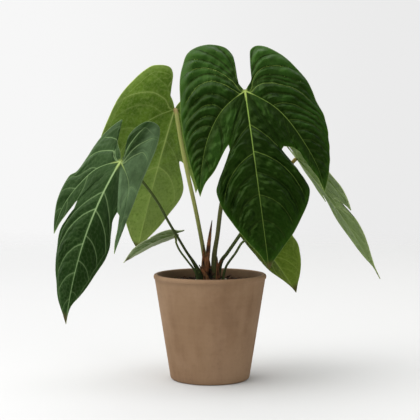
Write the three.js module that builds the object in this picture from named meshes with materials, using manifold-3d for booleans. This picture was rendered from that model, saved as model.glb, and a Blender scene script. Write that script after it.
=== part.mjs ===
// A potted Anthurium chiapasense: a round tapered clay pot of dark bark mix and one plant with six lobed leaves.
// Millimetres, +Z up, the pot's axis on the Z axis, its foot on z = 0, the widest leaf facing -Y.
import * as THREE from "three";
import Module from "manifold-3d";
import { mergeVertices } from "three/addons/utils/BufferGeometryUtils.js";

const wasm = await Module();
wasm.setup();

// Pot
const POT_HEIGHT = 130;
const POT_RIM_RADIUS = 70;
const POT_NECK_RADIUS = 68.6;
const POT_BASE_RADIUS = 49.5;
const POT_WALL = 6;
const POT_FLOOR = 6;
const POT_LIP = 6;
const DRAIN_RADIUS = 4;
const DRAIN_SPACING = 20;
const DRAIN_HOLES = 3;
// Potting mix
const MIX_LEVEL = 119;
const MIX_GAP = 0.3;
const MIX_LUMP = 1.6;
// Clearance round each stem where it stands in the mix and the crown
const SOCKET_GAP = 0.3;
// Leaf blades
const BLADE_THICKNESS = 0.8;
const RIB_HEIGHT = 1.1;
const VEIN_BOW = 0.06;
// Side veins stand closer together near the junction, where they fan into the rear lobe
const LATERAL_CROWDING = 1.8;

// Each blade is given flat: u across the midrib, v from the junction towards the tip.
// A half holds its lateral vein, the notch between the lobes, and three stretches of margin.
// A margin row is [share of the vein where its side vein leaves, u, v].
// pose: junction, tip and facing in space, then the bends: droop along the midrib, rise of the rear lobes,
// fold and curl of the half on the minus side and on the plus side, the sideways sweep of the midrib,
// and how far each half's fold turns from junction to tip.
const LEAVES = {
  front: {
    colour: "#1f4a20",
    roughness: 0.42,
    junction: [41.6, -45, 353],
    tip: [68, -100, 143.5],
    facing: [-0.03, -0.93, 0.35],
    bends: { droop: 0.3, back: 0.25, fold: [0.1, 0.1], curl: [-0.3, -0.3], sweep: 0, turn: [0, 0] },
    quilt: 1.6,
    wave: 0.8,
    steps: { centre: 24, lateral: 20, inner: 6, outer: 7 },
    veins: { centre: 6, lateral: 5 },
    plus: {
      vein: [[31, 23], [49, 50], [63, 90], [69, 123]],
      notch: [28, 66],
      centre: [[0.02, 27.5, 72], [0.1, 33, 88], [0.2, 42, 105], [0.29, 49, 118], [0.38, 47, 133], [0.6, 35, 160], [0.8, 19.5, 185], [0.92, 6.8, 203]],
      inner: [[0.18, 33, 72], [0.4, 41, 84], [0.62, 49, 96], [0.84, 62, 110]],
      outer: [[0.025, 8, -15], [0.05, 8.5, -35], [0.075, 8, -47], [0.1, 14, -59], [0.14, 29, -68], [0.19, 47, -69.5], [0.25, 63, -62], [0.31, 72, -45], [0.44, 79, -4], [0.64, 80.5, 46], [0.84, 75, 91]],
    },
    minus: {
      vein: [[36, 30], [59, 69], [75, 114], [77, 135]],
      notch: [36, 76],
      centre: [[0.015, 33, 80], [0.06, 35, 89], [0.16, 46, 108], [0.27, 58, 124], [0.33, 59.5, 131], [0.4, 57, 141], [0.55, 46, 161], [0.72, 32, 181], [0.86, 16.5, 198], [0.955, 3.8, 212.5]],
      inner: [[0.1, 44, 78], [0.3, 56, 87], [0.6, 64, 105], [0.84, 72, 120]],
      outer: [[0.02, 4, -5], [0.04, 9.5, -14], [0.06, 13, -33], [0.085, 12.5, -51], [0.11, 18, -58], [0.145, 28, -58.5], [0.2, 47, -46], [0.27, 67, -23], [0.33, 76, -9], [0.43, 83.5, 17], [0.56, 92, 44], [0.71, 92, 78], [0.88, 86, 112]],
    },
  },
  back_left: {
    colour: "#5d7f35",
    roughness: 0.5,
    junction: [-44.6, 25, 334.8],
    tip: [-95, 72, 152.5],
    facing: [-0.25, 0.9, 0.4],
    bends: { droop: 0.25, back: 0.3, fold: [0.05, 0.35], curl: [-0.35, -0.2], sweep: 0, turn: [0, 0] },
    quilt: 0.9,
    wave: 0.8,
    steps: { centre: 18, lateral: 16, inner: 5, outer: 6 },
    veins: { centre: 4.5, lateral: 4 },
    minus: {
      vein: [[30, 22], [50, 52], [62, 88], [67, 112]],
      notch: [29, 68],
      centre: [[0.05, 29, 78], [0.15, 34, 94], [0.28, 41, 108], [0.4, 40, 128], [0.6, 30, 150], [0.8, 19, 170], [0.92, 10, 184]],
      inner: [[0.2, 34, 70], [0.5, 46, 82], [0.8, 59, 100]],
      outer: [[0.025, 5, -10], [0.05, 16, -25], [0.08, 14, -40], [0.11, 20, -52], [0.16, 42, -53], [0.21, 54, -45], [0.27, 66, -30], [0.36, 78, -9], [0.48, 85, 19], [0.66, 90, 50], [0.85, 80, 88]],
    },
    plus: {
      vein: [[29, 22], [48, 54], [61, 88], [67, 111]],
      notch: [30, 71],
      centre: [[0.04, 32, 76], [0.14, 39, 92], [0.28, 47, 106], [0.38, 47, 118], [0.58, 35, 145], [0.8, 19, 170], [0.92, 9, 183]],
      inner: [[0.2, 34, 71], [0.5, 45, 80], [0.8, 58, 96]],
      outer: [[0.025, 5, -10], [0.05, 16, -25], [0.08, 14, -40], [0.11, 20, -52], [0.16, 42, -53], [0.21, 54, -45], [0.27, 62, -30], [0.36, 66, -9], [0.48, 69, 19], [0.66, 70, 50], [0.85, 70, 85]],
    },
  },
  left: {
    colour: "#2f5a40",
    roughness: 0.6,
    junction: [-105.5, -60, 269],
    tip: [-165, -105, 82.5],
    facing: [-0.12, -0.9, 0.42],
    bends: { droop: 0.3, back: 0.25, fold: [-0.6, -0.1], curl: [-0.5, -0.25], sweep: -0.18, turn: [0, 0] },
    quilt: 1.0,
    wave: 0.8,
    steps: { centre: 18, lateral: 16, inner: 5, outer: 6 },
    veins: { centre: 4.5, lateral: 4 },
    plus: {
      vein: [[22, 18], [35, 45], [44, 80], [43.5, 111.5]],
      notch: [28, 64],
      centre: [[0.03, 28, 80], [0.12, 34, 95], [0.24, 36, 110], [0.34, 33, 126], [0.5, 28, 145], [0.65, 23, 160], [0.8, 16, 176], [0.9, 7, 189]],
      inner: [[0.35, 33, 75], [0.62, 37, 88], [0.86, 41, 102]],
      outer: [[0.025, 6, -10], [0.05, 16, -20], [0.08, 27, -38], [0.11, 29, -51], [0.14, 35, -42], [0.19, 41, -26], [0.28, 44, -8], [0.38, 44, 11], [0.5, 47, 32], [0.58, 54, 39], [0.7, 57, 55], [0.86, 53, 87]],
    },
    minus: {
      vein: [[23, 17], [34, 43], [39.5, 74], [43, 100]],
      notch: [26, 54],
      centre: [[0.03, 25, 62], [0.12, 28, 77], [0.26, 34, 96], [0.36, 34, 106], [0.52, 29, 123], [0.68, 22, 142], [0.83, 12, 163], [0.92, 2.6, 180]],
      inner: [[0.25, 32, 58], [0.6, 36, 72], [0.85, 38, 86]],
      outer: [[0.03, -1, -14], [0.06, -8, -30], [0.09, -8, -42], [0.13, -2, -57], [0.17, 6, -64], [0.22, 16, -66], [0.28, 22, -61], [0.36, 28, -46], [0.46, 33, -24], [0.58, 37, 2], [0.72, 40.5, 28], [0.88, 43.5, 62]],
    },
  },
  right: {
    colour: "#6f8a58",
    roughness: 0.55,
    junction: [109.5, 25, 273.4],
    tip: [220, 50, 117],
    facing: [0.8, 0.24, 0.54],
    bends: { droop: 0.24, back: 0.3, fold: [0.31, 0.07], curl: [-0.1, -0.15], sweep: 0, turn: [-0.36, 0] },
    quilt: 0.7,
    wave: 0.6,
    steps: { centre: 16, lateral: 12, inner: 4, outer: 5 },
    veins: { centre: 4, lateral: 3 },
    plus: {
      vein: [[24, 18], [41, 42], [45, 68], [40, 87]],
      notch: [11.5, 69],
      centre: [[0.03, 8.5, 76], [0.07, 9.5, 84], [0.12, 18, 88.2], [0.18, 28, 92.5], [0.25, 35, 98.5], [0.34, 35.5, 110], [0.42, 32, 121], [0.54, 24, 135], [0.68, 15, 152], [0.8, 7.5, 166], [0.88, 2.4, 176], [0.94, 1.3, 186]],
      inner: [[0.3, 20, 71], [0.6, 28, 75.5], [0.85, 36, 82]],
      outer: [[0.03, 5, -12], [0.06, 8, -26], [0.1, 14, -38], [0.15, 27, -41], [0.21, 42, -33], [0.28, 53, -14], [0.4, 62, 8], [0.54, 68, 28], [0.7, 69, 46], [0.86, 58, 68]],
    },
    minus: {
      vein: [[20, 20], [32, 42], [37, 60], [38, 77]],
      notch: [27, 67],
      centre: [[0.05, 29, 74], [0.18, 34, 87], [0.32, 36, 101], [0.48, 32.5, 120], [0.64, 24, 140], [0.8, 11, 164], [0.88, 2.4, 176], [0.94, 1.3, 186]],
      inner: [[0.3, 30, 66.5], [0.6, 33.5, 68.5], [0.85, 36.5, 73]],
      outer: [[0.03, 5, -12], [0.06, 8, -26], [0.1, 13, -36], [0.15, 21, -37], [0.21, 29, -30], [0.28, 35, -16], [0.4, 40, 6], [0.54, 43, 24], [0.72, 44, 43], [0.88, 42, 62]],
    },
  },
  low_right: {
    colour: "#5f8438",
    roughness: 0.5,
    junction: [53.6, 8, 177.4],
    tip: [110, 30, 102],
    facing: [0.25, 0.85, 0.45],
    bends: { droop: 0.5, back: 0.3, fold: [0.35, 0.05], curl: [-0.1, -0.2], sweep: 0, turn: [0, 0] },
    quilt: 0.5,
    wave: 0.4,
    steps: { centre: 12, lateral: 10, inner: 4, outer: 4 },
    veins: { centre: 3, lateral: 2.5 },
    plus: {
      vein: [[14, 8], [28, 17], [42, 28]],
      notch: [36, 51],
      centre: [[0.1, 32.5, 58], [0.25, 28, 65.4], [0.42, 22, 73.5], [0.6, 15.3, 81], [0.8, 8, 88.3]],
      inner: [[0.35, 39.5, 44], [0.7, 41.5, 37]],
      outer: [[0.04, 2, -5], [0.08, 5, -13], [0.13, 11, -19], [0.2, 19, -18], [0.28, 28, -12], [0.38, 35, -4], [0.52, 41, 6], [0.72, 43.5, 17]],
    },
    minus: {
      vein: [[9, 9], [16, 20], [22, 33]],
      notch: [22, 43],
      centre: [[0.1, 21.5, 50], [0.25, 19, 59], [0.42, 13.5, 68.5], [0.6, 8, 77.5], [0.8, 3, 86.5]],
      inner: [[0.35, 22.3, 41], [0.7, 22.6, 37]],
      outer: [[0.04, 2, -5], [0.08, 5, -10], [0.13, 9, -13], [0.2, 14, -11], [0.28, 18, -6], [0.38, 20, 0], [0.52, 21.5, 10], [0.72, 22.5, 22]],
    },
  },
  small: {
    colour: "#5b7a48",
    roughness: 0.5,
    junction: [-44.3, 12, 178],
    tip: [-108, 4, 143],
    facing: [-0.42, 0.36, 0.8],
    bends: { droop: 0.5, back: 0.2, fold: [0.1, 0.1], curl: [-0.1, -0.2], sweep: 0, turn: [0, 0] },
    quilt: 0.4,
    wave: 0.3,
    steps: { centre: 10, lateral: 8, inner: 4, outer: 4 },
    veins: { centre: 2.5, lateral: 2 },
    plus: {
      vein: [[7, 7], [12, 17], [17, 29]],
      notch: [15.5, 31],
      centre: [[0.1, 16, 37], [0.25, 15, 44], [0.42, 13, 51], [0.6, 10, 58], [0.8, 5, 66], [0.92, 1.2, 71]],
      inner: [[0.35, 16, 30.4], [0.7, 16.5, 29.6]],
      outer: [[0.04, 1, -2], [0.08, 3, -3.5], [0.13, 6, -4.5], [0.2, 10, -4.5], [0.28, 13.5, -2.5], [0.38, 16.5, 2], [0.52, 18.5, 9], [0.72, 18.5, 18]],
    },
    minus: {
      vein: [[7, 7], [12, 17], [17, 29]],
      notch: [15.5, 31],
      centre: [[0.1, 16.5, 37], [0.25, 16.5, 44], [0.42, 15.5, 51], [0.6, 12, 58], [0.8, 6, 66], [0.92, 1.4, 71]],
      inner: [[0.35, 16, 30.4], [0.7, 16.5, 29.6]],
      outer: [[0.04, 1.5, -5], [0.08, 2.5, -11], [0.13, 5, -13.5], [0.18, 6.5, -10], [0.24, 9, -5.5], [0.32, 13, -3], [0.42, 17, 2], [0.56, 19.5, 10], [0.76, 19, 19]],
    },
  },
};

// Stems: points from the foot in the mix up to just below the blade, then the radius at the foot, in the middle and at the top.
const STEMS = {
  front: { path: [[5, -4, 108], [5, -3.5, 128], [5.2, -3, 152], [9.3, -4, 178.9], [13.6, -5, 213.4], [23.3, -8, 258.7], [32.3, -15, 307.5], [37.5, -24, 338]], radii: [4.2, 2.7, 3] },
  back_left: { path: [[-4.5, 2, 108], [-5, 2, 128], [-6.8, 3, 149], [-9.1, 4.5, 163.5], [-17.8, 8, 208.6], [-26.6, 10, 248.1], [-34.8, 12, 287.5], [-39.5, 12, 314]], radii: [3.9, 2.55, 2.6] },
  left: { path: [[-10, -8, 108], [-12, -8, 128], [-19.6, -8.5, 143.7], [-29, -12, 158.4], [-38.7, -16, 175.2], [-50.7, -22, 196.1], [-62.5, -29, 218.8], [-79.9, -40, 244.1], [-95, -49, 261]], radii: [4.2, 2, 2.2] },
  right: { path: [[9, 8, 108], [9.8, 8, 126], [14.4, 12, 144.7], [21.3, 16, 153.6], [37.6, 23, 176.2], [70.4, 24, 221.8], [96, 15, 259]], radii: [3.6, 2.2, 2.4] },
  low_right: { path: [[15.5, -1, 108], [16.3, -1.5, 124], [20, -2, 138.8], [31.4, -3, 155.6], [41, -4.5, 170]], radii: [2.6, 1.5, 1.7] },
  small: { path: [[-15.5, 4, 108], [-16.2, 4, 125], [-20, 5, 134.6], [-27.6, 6, 144.5], [-38.4, 7, 159.3], [-42.3, 7, 168.5]], radii: [2, 1.25, 1.4] },
};
const STEM_SIDES = 10;
const STEM_STEPS = 18;

// Smooth curve through rows at given stations, one number at a time.
function curve(stations, rows, at) {
  const n = stations.length;
  const size = rows[0].length;
  const slope = rows.map(() => new Array(size).fill(0));
  const step = (i) => stations[i + 1] - stations[i];
  for (let k = 0; k < size; k++) {
    const rise = (i) => (rows[i + 1][k] - rows[i][k]) / step(i);
    for (let i = 1; i < n - 1; i++) slope[i][k] = (rise(i - 1) * step(i) + rise(i) * step(i - 1)) / (step(i - 1) + step(i));
    slope[0][k] = n > 2 ? 1.5 * rise(0) - 0.5 * slope[1][k] : rise(0);
    slope[n - 1][k] = n > 2 ? 1.5 * rise(n - 2) - 0.5 * slope[n - 2][k] : rise(0);
  }
  let i = 0;
  while (i < n - 2 && at >= stations[i + 1]) i++;
  const h = step(i);
  const t = (at - stations[i]) / h;
  const a = 2 * t ** 3 - 3 * t ** 2 + 1;
  const b = t ** 3 - 2 * t ** 2 + t;
  const c = 3 * t ** 2 - 2 * t ** 3;
  const d = t ** 3 - t ** 2;
  return rows[i].map((_, k) => a * rows[i][k] + b * h * slope[i][k] + c * rows[i + 1][k] + d * h * slope[i + 1][k]);
}

const smooth = (low, high, x) => {
  const t = Math.min(1, Math.max(0, (x - low) / (high - low)));
  return t * t * (3 - 2 * t);
};

// Sine and cosine shares of an arc of bend k after a run w.
const arc = (k, w) => (Math.abs(k) < 1e-9 ? [w, 0] : [Math.sin(k * w) / k, (1 - Math.cos(k * w)) / k]);

// A blade's bends: flat (u, v) to a point about the junction, for a midrib of the given length.
function bent(bends, length, u, v) {
  const k = (v >= 0 ? bends.droop : bends.back) / length;
  const [run, drop] = arc(k, v);
  const side = u >= 0 ? 1 : 0;
  const [across, up] = arc(bends.curl[side] / 60, Math.abs(u));
  const fold = bends.fold[side] + (bends.turn[side] * v) / length;
  const x = (across * Math.cos(fold) - up * Math.sin(fold)) * (side ? 1 : -1);
  const h = across * Math.sin(fold) + up * Math.cos(fold);
  const sweep = bends.sweep * (Math.max(v, 0) / length) ** 2 * length;
  return new THREE.Vector3(x + sweep, run + h * Math.sin(k * v), -drop + h * Math.cos(k * v));
}

// The blade's midrib length and its turn in space, so that the bent blade runs from junction to tip.
function placed(leaf) {
  const junction = new THREE.Vector3(...leaf.junction);
  const chord = new THREE.Vector3(...leaf.tip).sub(junction);
  const length = chord.length() / bent(leaf.bends, 1, 0, 1).length();
  const local = bent(leaf.bends, length, 0, length).normalize();
  const axes = (a, hint) => {
    const first = a.clone().normalize();
    const second = hint.clone().addScaledVector(first, -hint.dot(first)).normalize();
    return new THREE.Matrix4().makeBasis(first, second, new THREE.Vector3().crossVectors(first, second));
  };
  const turn = axes(chord, new THREE.Vector3(...leaf.facing)).multiply(axes(local, new THREE.Vector3(0, 0, 1)).transpose());
  const at = (u, v) => bent(leaf.bends, length, u, v).applyMatrix4(turn).add(junction);
  const normal = (u, v) => {
    const a = at(u + 0.5, v).sub(at(u - 0.5, v));
    const b = at(u, v + 0.5).sub(at(u, v - 0.5));
    return a.cross(b).normalize();
  };
  return { length, at, normal };
}

// One half's patch: side veins ruled from a main vein to the margin, each bowed a little.
function ruled(half, length, name) {
  const vein = [[0, 0], ...half.vein];
  const run = [0];
  for (let i = 1; i < vein.length; i++) run.push(run[i - 1] + Math.hypot(vein[i][0] - vein[i - 1][0], vein[i][1] - vein[i - 1][1]));
  const share = run.map((r) => r / run[run.length - 1]);
  const source = (s) => (name === "centre" ? [0, s * length] : curve(share, vein, s));
  const last = name === "centre" ? [0, length] : vein[vein.length - 1];
  const rows = [name === "outer" ? [0, 0, 0] : [0, ...half.notch], ...half[name], [1, ...last]];
  const margin = (s) => curve(rows.map((r) => r[0]), rows.map((r) => r.slice(1)), s);
  const way = name === "inner" ? -1 : 1;
  return (s, t) => {
    const [a, b] = source(s);
    const [c, d] = margin(s);
    const bow = VEIN_BOW * Math.sin(Math.PI * s) * 4 * t * (1 - t) * way;
    return [a + (c - a) * t + bow * (d - b), b + (d - b) * t - bow * (c - a)];
  };
}

const shares = (steps, first) => Array.from({ length: steps + 1 }, (_, i) => (i === 0 ? 0 : i === 1 ? first : first + ((1 - first) * (i - 1)) / (steps - 1)));

// The whole blade: a bent sheet with quilted fields between its side veins, ribs below, closed round its margin.
function blade(leaf) {
  const { length, at, normal } = placed(leaf);
  const points = [];
  const index = new Map();
  const faces = [];
  const vertex = (u, v, lift, rib) => {
    const key = `${Math.round(u * 500)},${Math.round(v * 500)}`;
    if (!index.has(key)) {
      index.set(key, points.length);
      const n = normal(u, v);
      const p = at(u, v).addScaledVector(n, lift);
      points.push([p.clone().addScaledVector(n, BLADE_THICKNESS / 2), p.clone().addScaledVector(n, -BLADE_THICKNESS / 2 - rib)]);
    }
    return index.get(key);
  };
  const inner = shares(leaf.steps.inner, 0.07);
  const outer = shares(leaf.steps.outer, 0.06);
  for (const [sign, half] of [[1, leaf.plus], [-1, leaf.minus]]) {
    for (const name of ["centre", "inner", "outer"]) {
      const point = ruled(half, length, name);
      const count = name === "centre" ? leaf.steps.centre : leaf.steps.lateral;
      const fields = name === "centre" ? leaf.veins.centre : leaf.veins.lateral;
      const across = name === "outer" ? outer : inner;
      const grid = [];
      for (let i = 0; i <= count; i++) {
        const x = i / count;
        const s = name === "centre" ? x : x ** LATERAL_CROWDING;
        const ends = smooth(0, 0.12, x) * smooth(0, 0.12, 1 - x);
        grid.push(
          across.map((t) => {
            const [u, v] = point(s, t);
            const field = Math.sin(Math.PI * fields * x) ** 2 * smooth(0, 0.3, t) * (1 - smooth(0.6, 1, t));
            const ripple = Math.sin(2 * Math.PI * fields * x + 0.7) * t * t * ends;
            const rib = t === 0 ? RIB_HEIGHT * (1 - 0.75 * x) : 0;
            return vertex(sign * u, v, leaf.quilt * field * ends ** 0.5 + leaf.wave * ripple, rib);
          }),
        );
      }
      for (let i = 0; i < count; i++)
        for (let j = 0; j < across.length - 1; j++) {
          const quad = [grid[i][j], grid[i + 1][j], grid[i + 1][j + 1], grid[i][j + 1]];
          for (const tri of [[quad[0], quad[1], quad[2]], [quad[0], quad[2], quad[3]]]) {
            if (new Set(tri).size < 3) continue;
            faces.push((name === "inner") === sign > 0 ? tri : [tri[0], tri[2], tri[1]]);
          }
        }
    }
  }
  const open = new Map();
  for (const f of faces)
    for (let k = 0; k < 3; k++) {
      const a = f[k];
      const b = f[(k + 1) % 3];
      if (open.has(`${b},${a}`)) open.delete(`${b},${a}`);
      else open.set(`${a},${b}`, [a, b]);
    }
  const flat = points.flatMap(([top, under]) => [top.x, top.y, top.z, under.x, under.y, under.z]);
  const list = [];
  for (const [a, b, c] of faces) list.push(2 * a, 2 * b, 2 * c, 2 * a + 1, 2 * c + 1, 2 * b + 1);
  for (const [a, b] of open.values()) list.push(2 * a, 2 * a + 1, 2 * b + 1, 2 * a, 2 * b + 1, 2 * b);
  return solid(flat, list);
}

// A closed body from points and triangles, turned to face outwards.
function solid(flat, list) {
  let made = new wasm.Manifold(new wasm.Mesh({ numProp: 3, vertProperties: new Float32Array(flat), triVerts: new Uint32Array(list) }));
  if (made.volume() < 0) {
    const back = list.slice();
    for (let i = 0; i < back.length; i += 3) [back[i + 1], back[i + 2]] = [back[i + 2], back[i + 1]];
    made = new wasm.Manifold(new wasm.Mesh({ numProp: 3, vertProperties: new Float32Array(flat), triVerts: new Uint32Array(back) }));
  }
  return made;
}

// A round bar along a smooth path; radius is a function of the share of its length.
function bar(path, radius, sides, steps, flatten = 1) {
  const points = path.map((p) => new THREE.Vector3(...p));
  const line = new THREE.CatmullRomCurve3(points, false, "centripetal");
  const frames = line.computeFrenetFrames(steps, false);
  const flat = [];
  for (let i = 0; i <= steps; i++) {
    const centre = line.getPointAt(i / steps);
    const r = radius(i / steps);
    for (let j = 0; j < sides; j++) {
      const a = (2 * Math.PI * j) / sides;
      const p = centre.clone().addScaledVector(frames.normals[i], r * Math.cos(a)).addScaledVector(frames.binormals[i], r * flatten * Math.sin(a));
      flat.push(p.x, p.y, p.z);
    }
  }
  const list = [];
  for (let i = 0; i < steps; i++)
    for (let j = 0; j < sides; j++) {
      const a = i * sides + j;
      const b = i * sides + ((j + 1) % sides);
      list.push(a, b, b + sides, a, b + sides, a + sides);
    }
  for (let j = 1; j < sides - 1; j++) {
    list.push(0, j + 1, j);
    list.push(steps * sides, steps * sides + j, steps * sides + j + 1);
  }
  return solid(flat, list);
}

// A stem grows thinner from a wide foot and swells again at the joint under its blade.
function stem(name, extra = 0) {
  const leaf = LEAVES[name];
  const { normal } = placed(leaf);
  const n = normal(0, 0);
  const junction = new THREE.Vector3(...leaf.junction);
  const [foot, middle, top] = STEMS[name].radii;
  const reach = BLADE_THICKNESS / 2 + RIB_HEIGHT + 0.35 + Math.max(0, -Math.min(...leaf.bends.fold)) * top;
  const ends = [reach + 6, reach].map((d) => junction.clone().addScaledVector(n, -d).toArray());
  const width = (s) => extra + middle + (foot - middle) * (1 - smooth(0, 0.28, s)) + (top - middle) * smooth(0.86, 0.94, s);
  return bar([...STEMS[name].path, ...ends], width, STEM_SIDES, STEM_STEPS);
}

// The pot, turned about its axis: rounded lip, straight tapered wall, three drain holes in the floor.
function pot() {
  const inner = (z) => POT_BASE_RADIUS - POT_WALL + ((POT_NECK_RADIUS - POT_BASE_RADIUS) * z) / (POT_HEIGHT - POT_LIP);
  const outline = [
    [0, 0], [POT_BASE_RADIUS - 3, 0], [POT_BASE_RADIUS - 0.9, 0.9], [POT_BASE_RADIUS, 3],
    [POT_NECK_RADIUS, POT_HEIGHT - POT_LIP], [POT_RIM_RADIUS - 0.4, POT_HEIGHT - POT_LIP + 0.8], [POT_RIM_RADIUS, POT_HEIGHT - 3],
    [POT_RIM_RADIUS - 0.4, POT_HEIGHT - 1.2], [POT_RIM_RADIUS - 1.6, POT_HEIGHT - 0.2], [POT_RIM_RADIUS - 3, POT_HEIGHT],
    [POT_RIM_RADIUS - 4.6, POT_HEIGHT - 0.3], [POT_RIM_RADIUS - 5.8, POT_HEIGHT - 1.4], [inner(POT_HEIGHT - 4), POT_HEIGHT - 4],
    [inner(POT_FLOOR + 3), POT_FLOOR + 3], [inner(POT_FLOOR + 3) - 3, POT_FLOOR], [0, POT_FLOOR],
  ];
  const turned = new THREE.LatheGeometry(outline.map(([r, z]) => new THREE.Vector2(r, z)), 48);
  turned.deleteAttribute("normal");
  turned.deleteAttribute("uv");
  turned.rotateX(Math.PI / 2);
  const merged = mergeVertices(turned, 1e-3);
  const corners = [...merged.index.array];
  const list = [];
  for (let i = 0; i < corners.length; i += 3) {
    const tri = corners.slice(i, i + 3);
    if (new Set(tri).size === 3) list.push(...tri);
  }
  let made = solid([...merged.attributes.position.array], list);
  for (let i = 0; i < DRAIN_HOLES; i++) {
    const hole = wasm.Manifold.cylinder(POT_FLOOR + 2, DRAIN_RADIUS, DRAIN_RADIUS, 20);
    made = made.subtract(hole.translate([DRAIN_SPACING, 0, -1]).rotate([0, 0, 30 + (360 * i) / DRAIN_HOLES]));
  }
  return made;
}

// The potting mix: a plug inside the wall with a lumpy top.
function mix() {
  const wall = (z) => POT_BASE_RADIUS - POT_WALL - MIX_GAP + ((POT_NECK_RADIUS - POT_BASE_RADIUS) * z) / (POT_HEIGHT - POT_LIP);
  const sides = 32;
  const rings = 7;
  const low = POT_FLOOR + MIX_GAP;
  const flat = [0, 0, low, 0, 0, MIX_LEVEL];
  const lump = (x, y) => MIX_LUMP * (0.5 * Math.sin(0.31 * x + 1.3) * Math.cos(0.27 * y) + 0.5 * Math.sin(0.52 * y + 0.4 * x) + 0.4 * Math.cos(0.71 * x - 0.55 * y + 2));
  const ring = (r, z, rough) => {
    const first = flat.length / 3;
    for (let j = 0; j < sides; j++) {
      const a = (2 * Math.PI * j) / sides;
      const [x, y] = [r * Math.cos(a), r * Math.sin(a)];
      flat.push(x, y, z + rough * lump(x, y));
    }
    return first;
  };
  const list = [];
  const join = (a, b) => {
    for (let j = 0; j < sides; j++) {
      const k = (j + 1) % sides;
      list.push(a + j, a + k, b + k, a + j, b + k, b + j);
    }
  };
  const foot = ring(wall(low + 3) - 3.3, low, 0);
  for (let j = 0; j < sides; j++) list.push(0, foot + ((j + 1) % sides), foot + j);
  let before = ring(wall(low + 3), low + 3, 0);
  join(foot, before);
  for (let i = 0; i <= rings; i++) {
    const r = wall(MIX_LEVEL - 3) * (1 - i / (rings + 1));
    const next = ring(r, MIX_LEVEL + (i === 0 ? -0.6 : 0), i === 0 ? 0.5 : 1);
    join(before, next);
    before = next;
  }
  flat[5] = MIX_LEVEL + lump(0, 0);
  for (let j = 0; j < sides; j++) list.push(before + j, before + ((j + 1) % sides), 1);
  return solid(flat, list);
}

// Sheaths: dry pointed bracts round the stem feet. Each is a thin curved strip with a lens section.
const SHEATHS = [
  { path: [[-5.6, -9, 112], [-5.2, -9.8, 130], [-4.2, -9.8, 143], [-2.6, -9.2, 155], [-1.4, -8.4, 167], [0.6, -7.4, 184], [2.6, -6.4, 197]], width: 2.85, taper: 3, flatten: 0.4 },
  { path: [[-8.6, -4.8, 112], [-8.6, -5, 132], [-8, -4.4, 148], [-7.8, -2.2, 166]], width: 3, taper: 2, flatten: 0.35 },
  { path: [[-1.5, -12.5, 112], [-3, -13.8, 124], [-8, -14.2, 133], [-13.6, -12.8, 142.5]], width: 3.4, taper: 1.6, flatten: 0.35 },
  { path: [[9.5, -6.6, 112], [9.6, -6.8, 128], [9.2, -7, 142], [8.8, -6.6, 152]], width: 3, taper: 1.2, flatten: 0.35 },
  { path: [[7.5, 2.5, 112], [8.5, 3, 128], [11, 5.4, 139], [16.5, 9.4, 149.5]], width: 3.2, taper: 1.6, flatten: 0.35 },
  { path: [[-1, 8.5, 112], [-1, 9.6, 128], [-2, 10.2, 142], [-3.5, 10.4, 156]], width: 4, taper: 2, flatten: 0.3 },
];
const ROOTS = [
  [[-3, -9, 118], [-5, -13, 122], [-7, -18, 121.5], [-8, -22, 117]],
  [[2, -10, 118], [3, -14, 122.5], [2, -19, 122], [0, -24, 117]],
  [[7, -8, 118], [10, -12, 122], [14, -16, 121], [17, -19, 116.5]],
  [[11, 4, 118], [16, 8, 122], [21, 12, 120.5], [24, 15, 116.5]],
  [[-9, 5, 118], [-12, 10, 122], [-17, 14, 120.5], [-20, 17, 116.5]],
];

const stems = Object.keys(STEMS);
const sockets = wasm.Manifold.union(stems.map((name) => stem(name, SOCKET_GAP)));

// The crown: a short thick stock with its dry sheaths and a few thick roots arching into the mix.
function crown() {
  const stock = bar([[0, -1, 112], [0, -1, 120], [0, -0.5, 128], [0.5, 0, 136]], (s) => 13 - 5.5 * s * s, 14, 5, 0.72);
  const bracts = SHEATHS.map(({ path, width, taper, flatten }) => bar(path, (s) => width * (1 - s ** taper) + 0.35, 8, 8, flatten));
  const roots = ROOTS.map((path) => bar(path, (s) => 1.5 - 0.4 * s, 6, 6));
  return wasm.Manifold.union([stock, ...bracts, ...roots]);
}
const grown = crown();
const crownBody = grown.subtract(sockets);
const mixBody = mix().subtract(wasm.Manifold.union([grown, sockets]));

const root = new THREE.Group();
root.name = "potted_anthurium";
function add(name, body, colour, roughness) {
  const mesh = body.getMesh();
  const geometry = new THREE.BufferGeometry();
  geometry.setAttribute("position", new THREE.BufferAttribute(new Float32Array(mesh.vertProperties), 3));
  geometry.setIndex(new THREE.BufferAttribute(new Uint32Array(mesh.triVerts), 1));
  geometry.computeVertexNormals();
  const material = new THREE.MeshStandardMaterial({ color: colour, roughness, metalness: 0 });
  const made = new THREE.Mesh(geometry, material);
  made.name = name;
  root.add(made);
}

add("pot", pot(), "#8a6f58", 0.9);
add("potting_mix", mixBody, "#2c211a", 1);
add("crown", crownBody, "#6b4a34", 0.8);
for (const name of stems) add(`stem_${name}`, stem(name), "#4b5a2c", 0.5);
for (const name of Object.keys(LEAVES)) add(`blade_${name}`, blade(LEAVES[name]), LEAVES[name].colour, LEAVES[name].roughness);

export default root;
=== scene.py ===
# %% [markdown]
# This lesson dresses a packed model of a potted Anthurium chiapasense: a clay pot of dark bark with six
# lobed leaves. The packed model is loaded as a fixed frame in metres, the pot's foot on z = 0 and the
# widest leaf facing -Y. Every plain solid is replaced with a finer piece that keeps its form and gets its
# own finish. Shapes are worked out in millimetres, as a grower would measure them, and turned to metres
# when a mesh is made.

# %% Load the frame
import math

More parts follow.
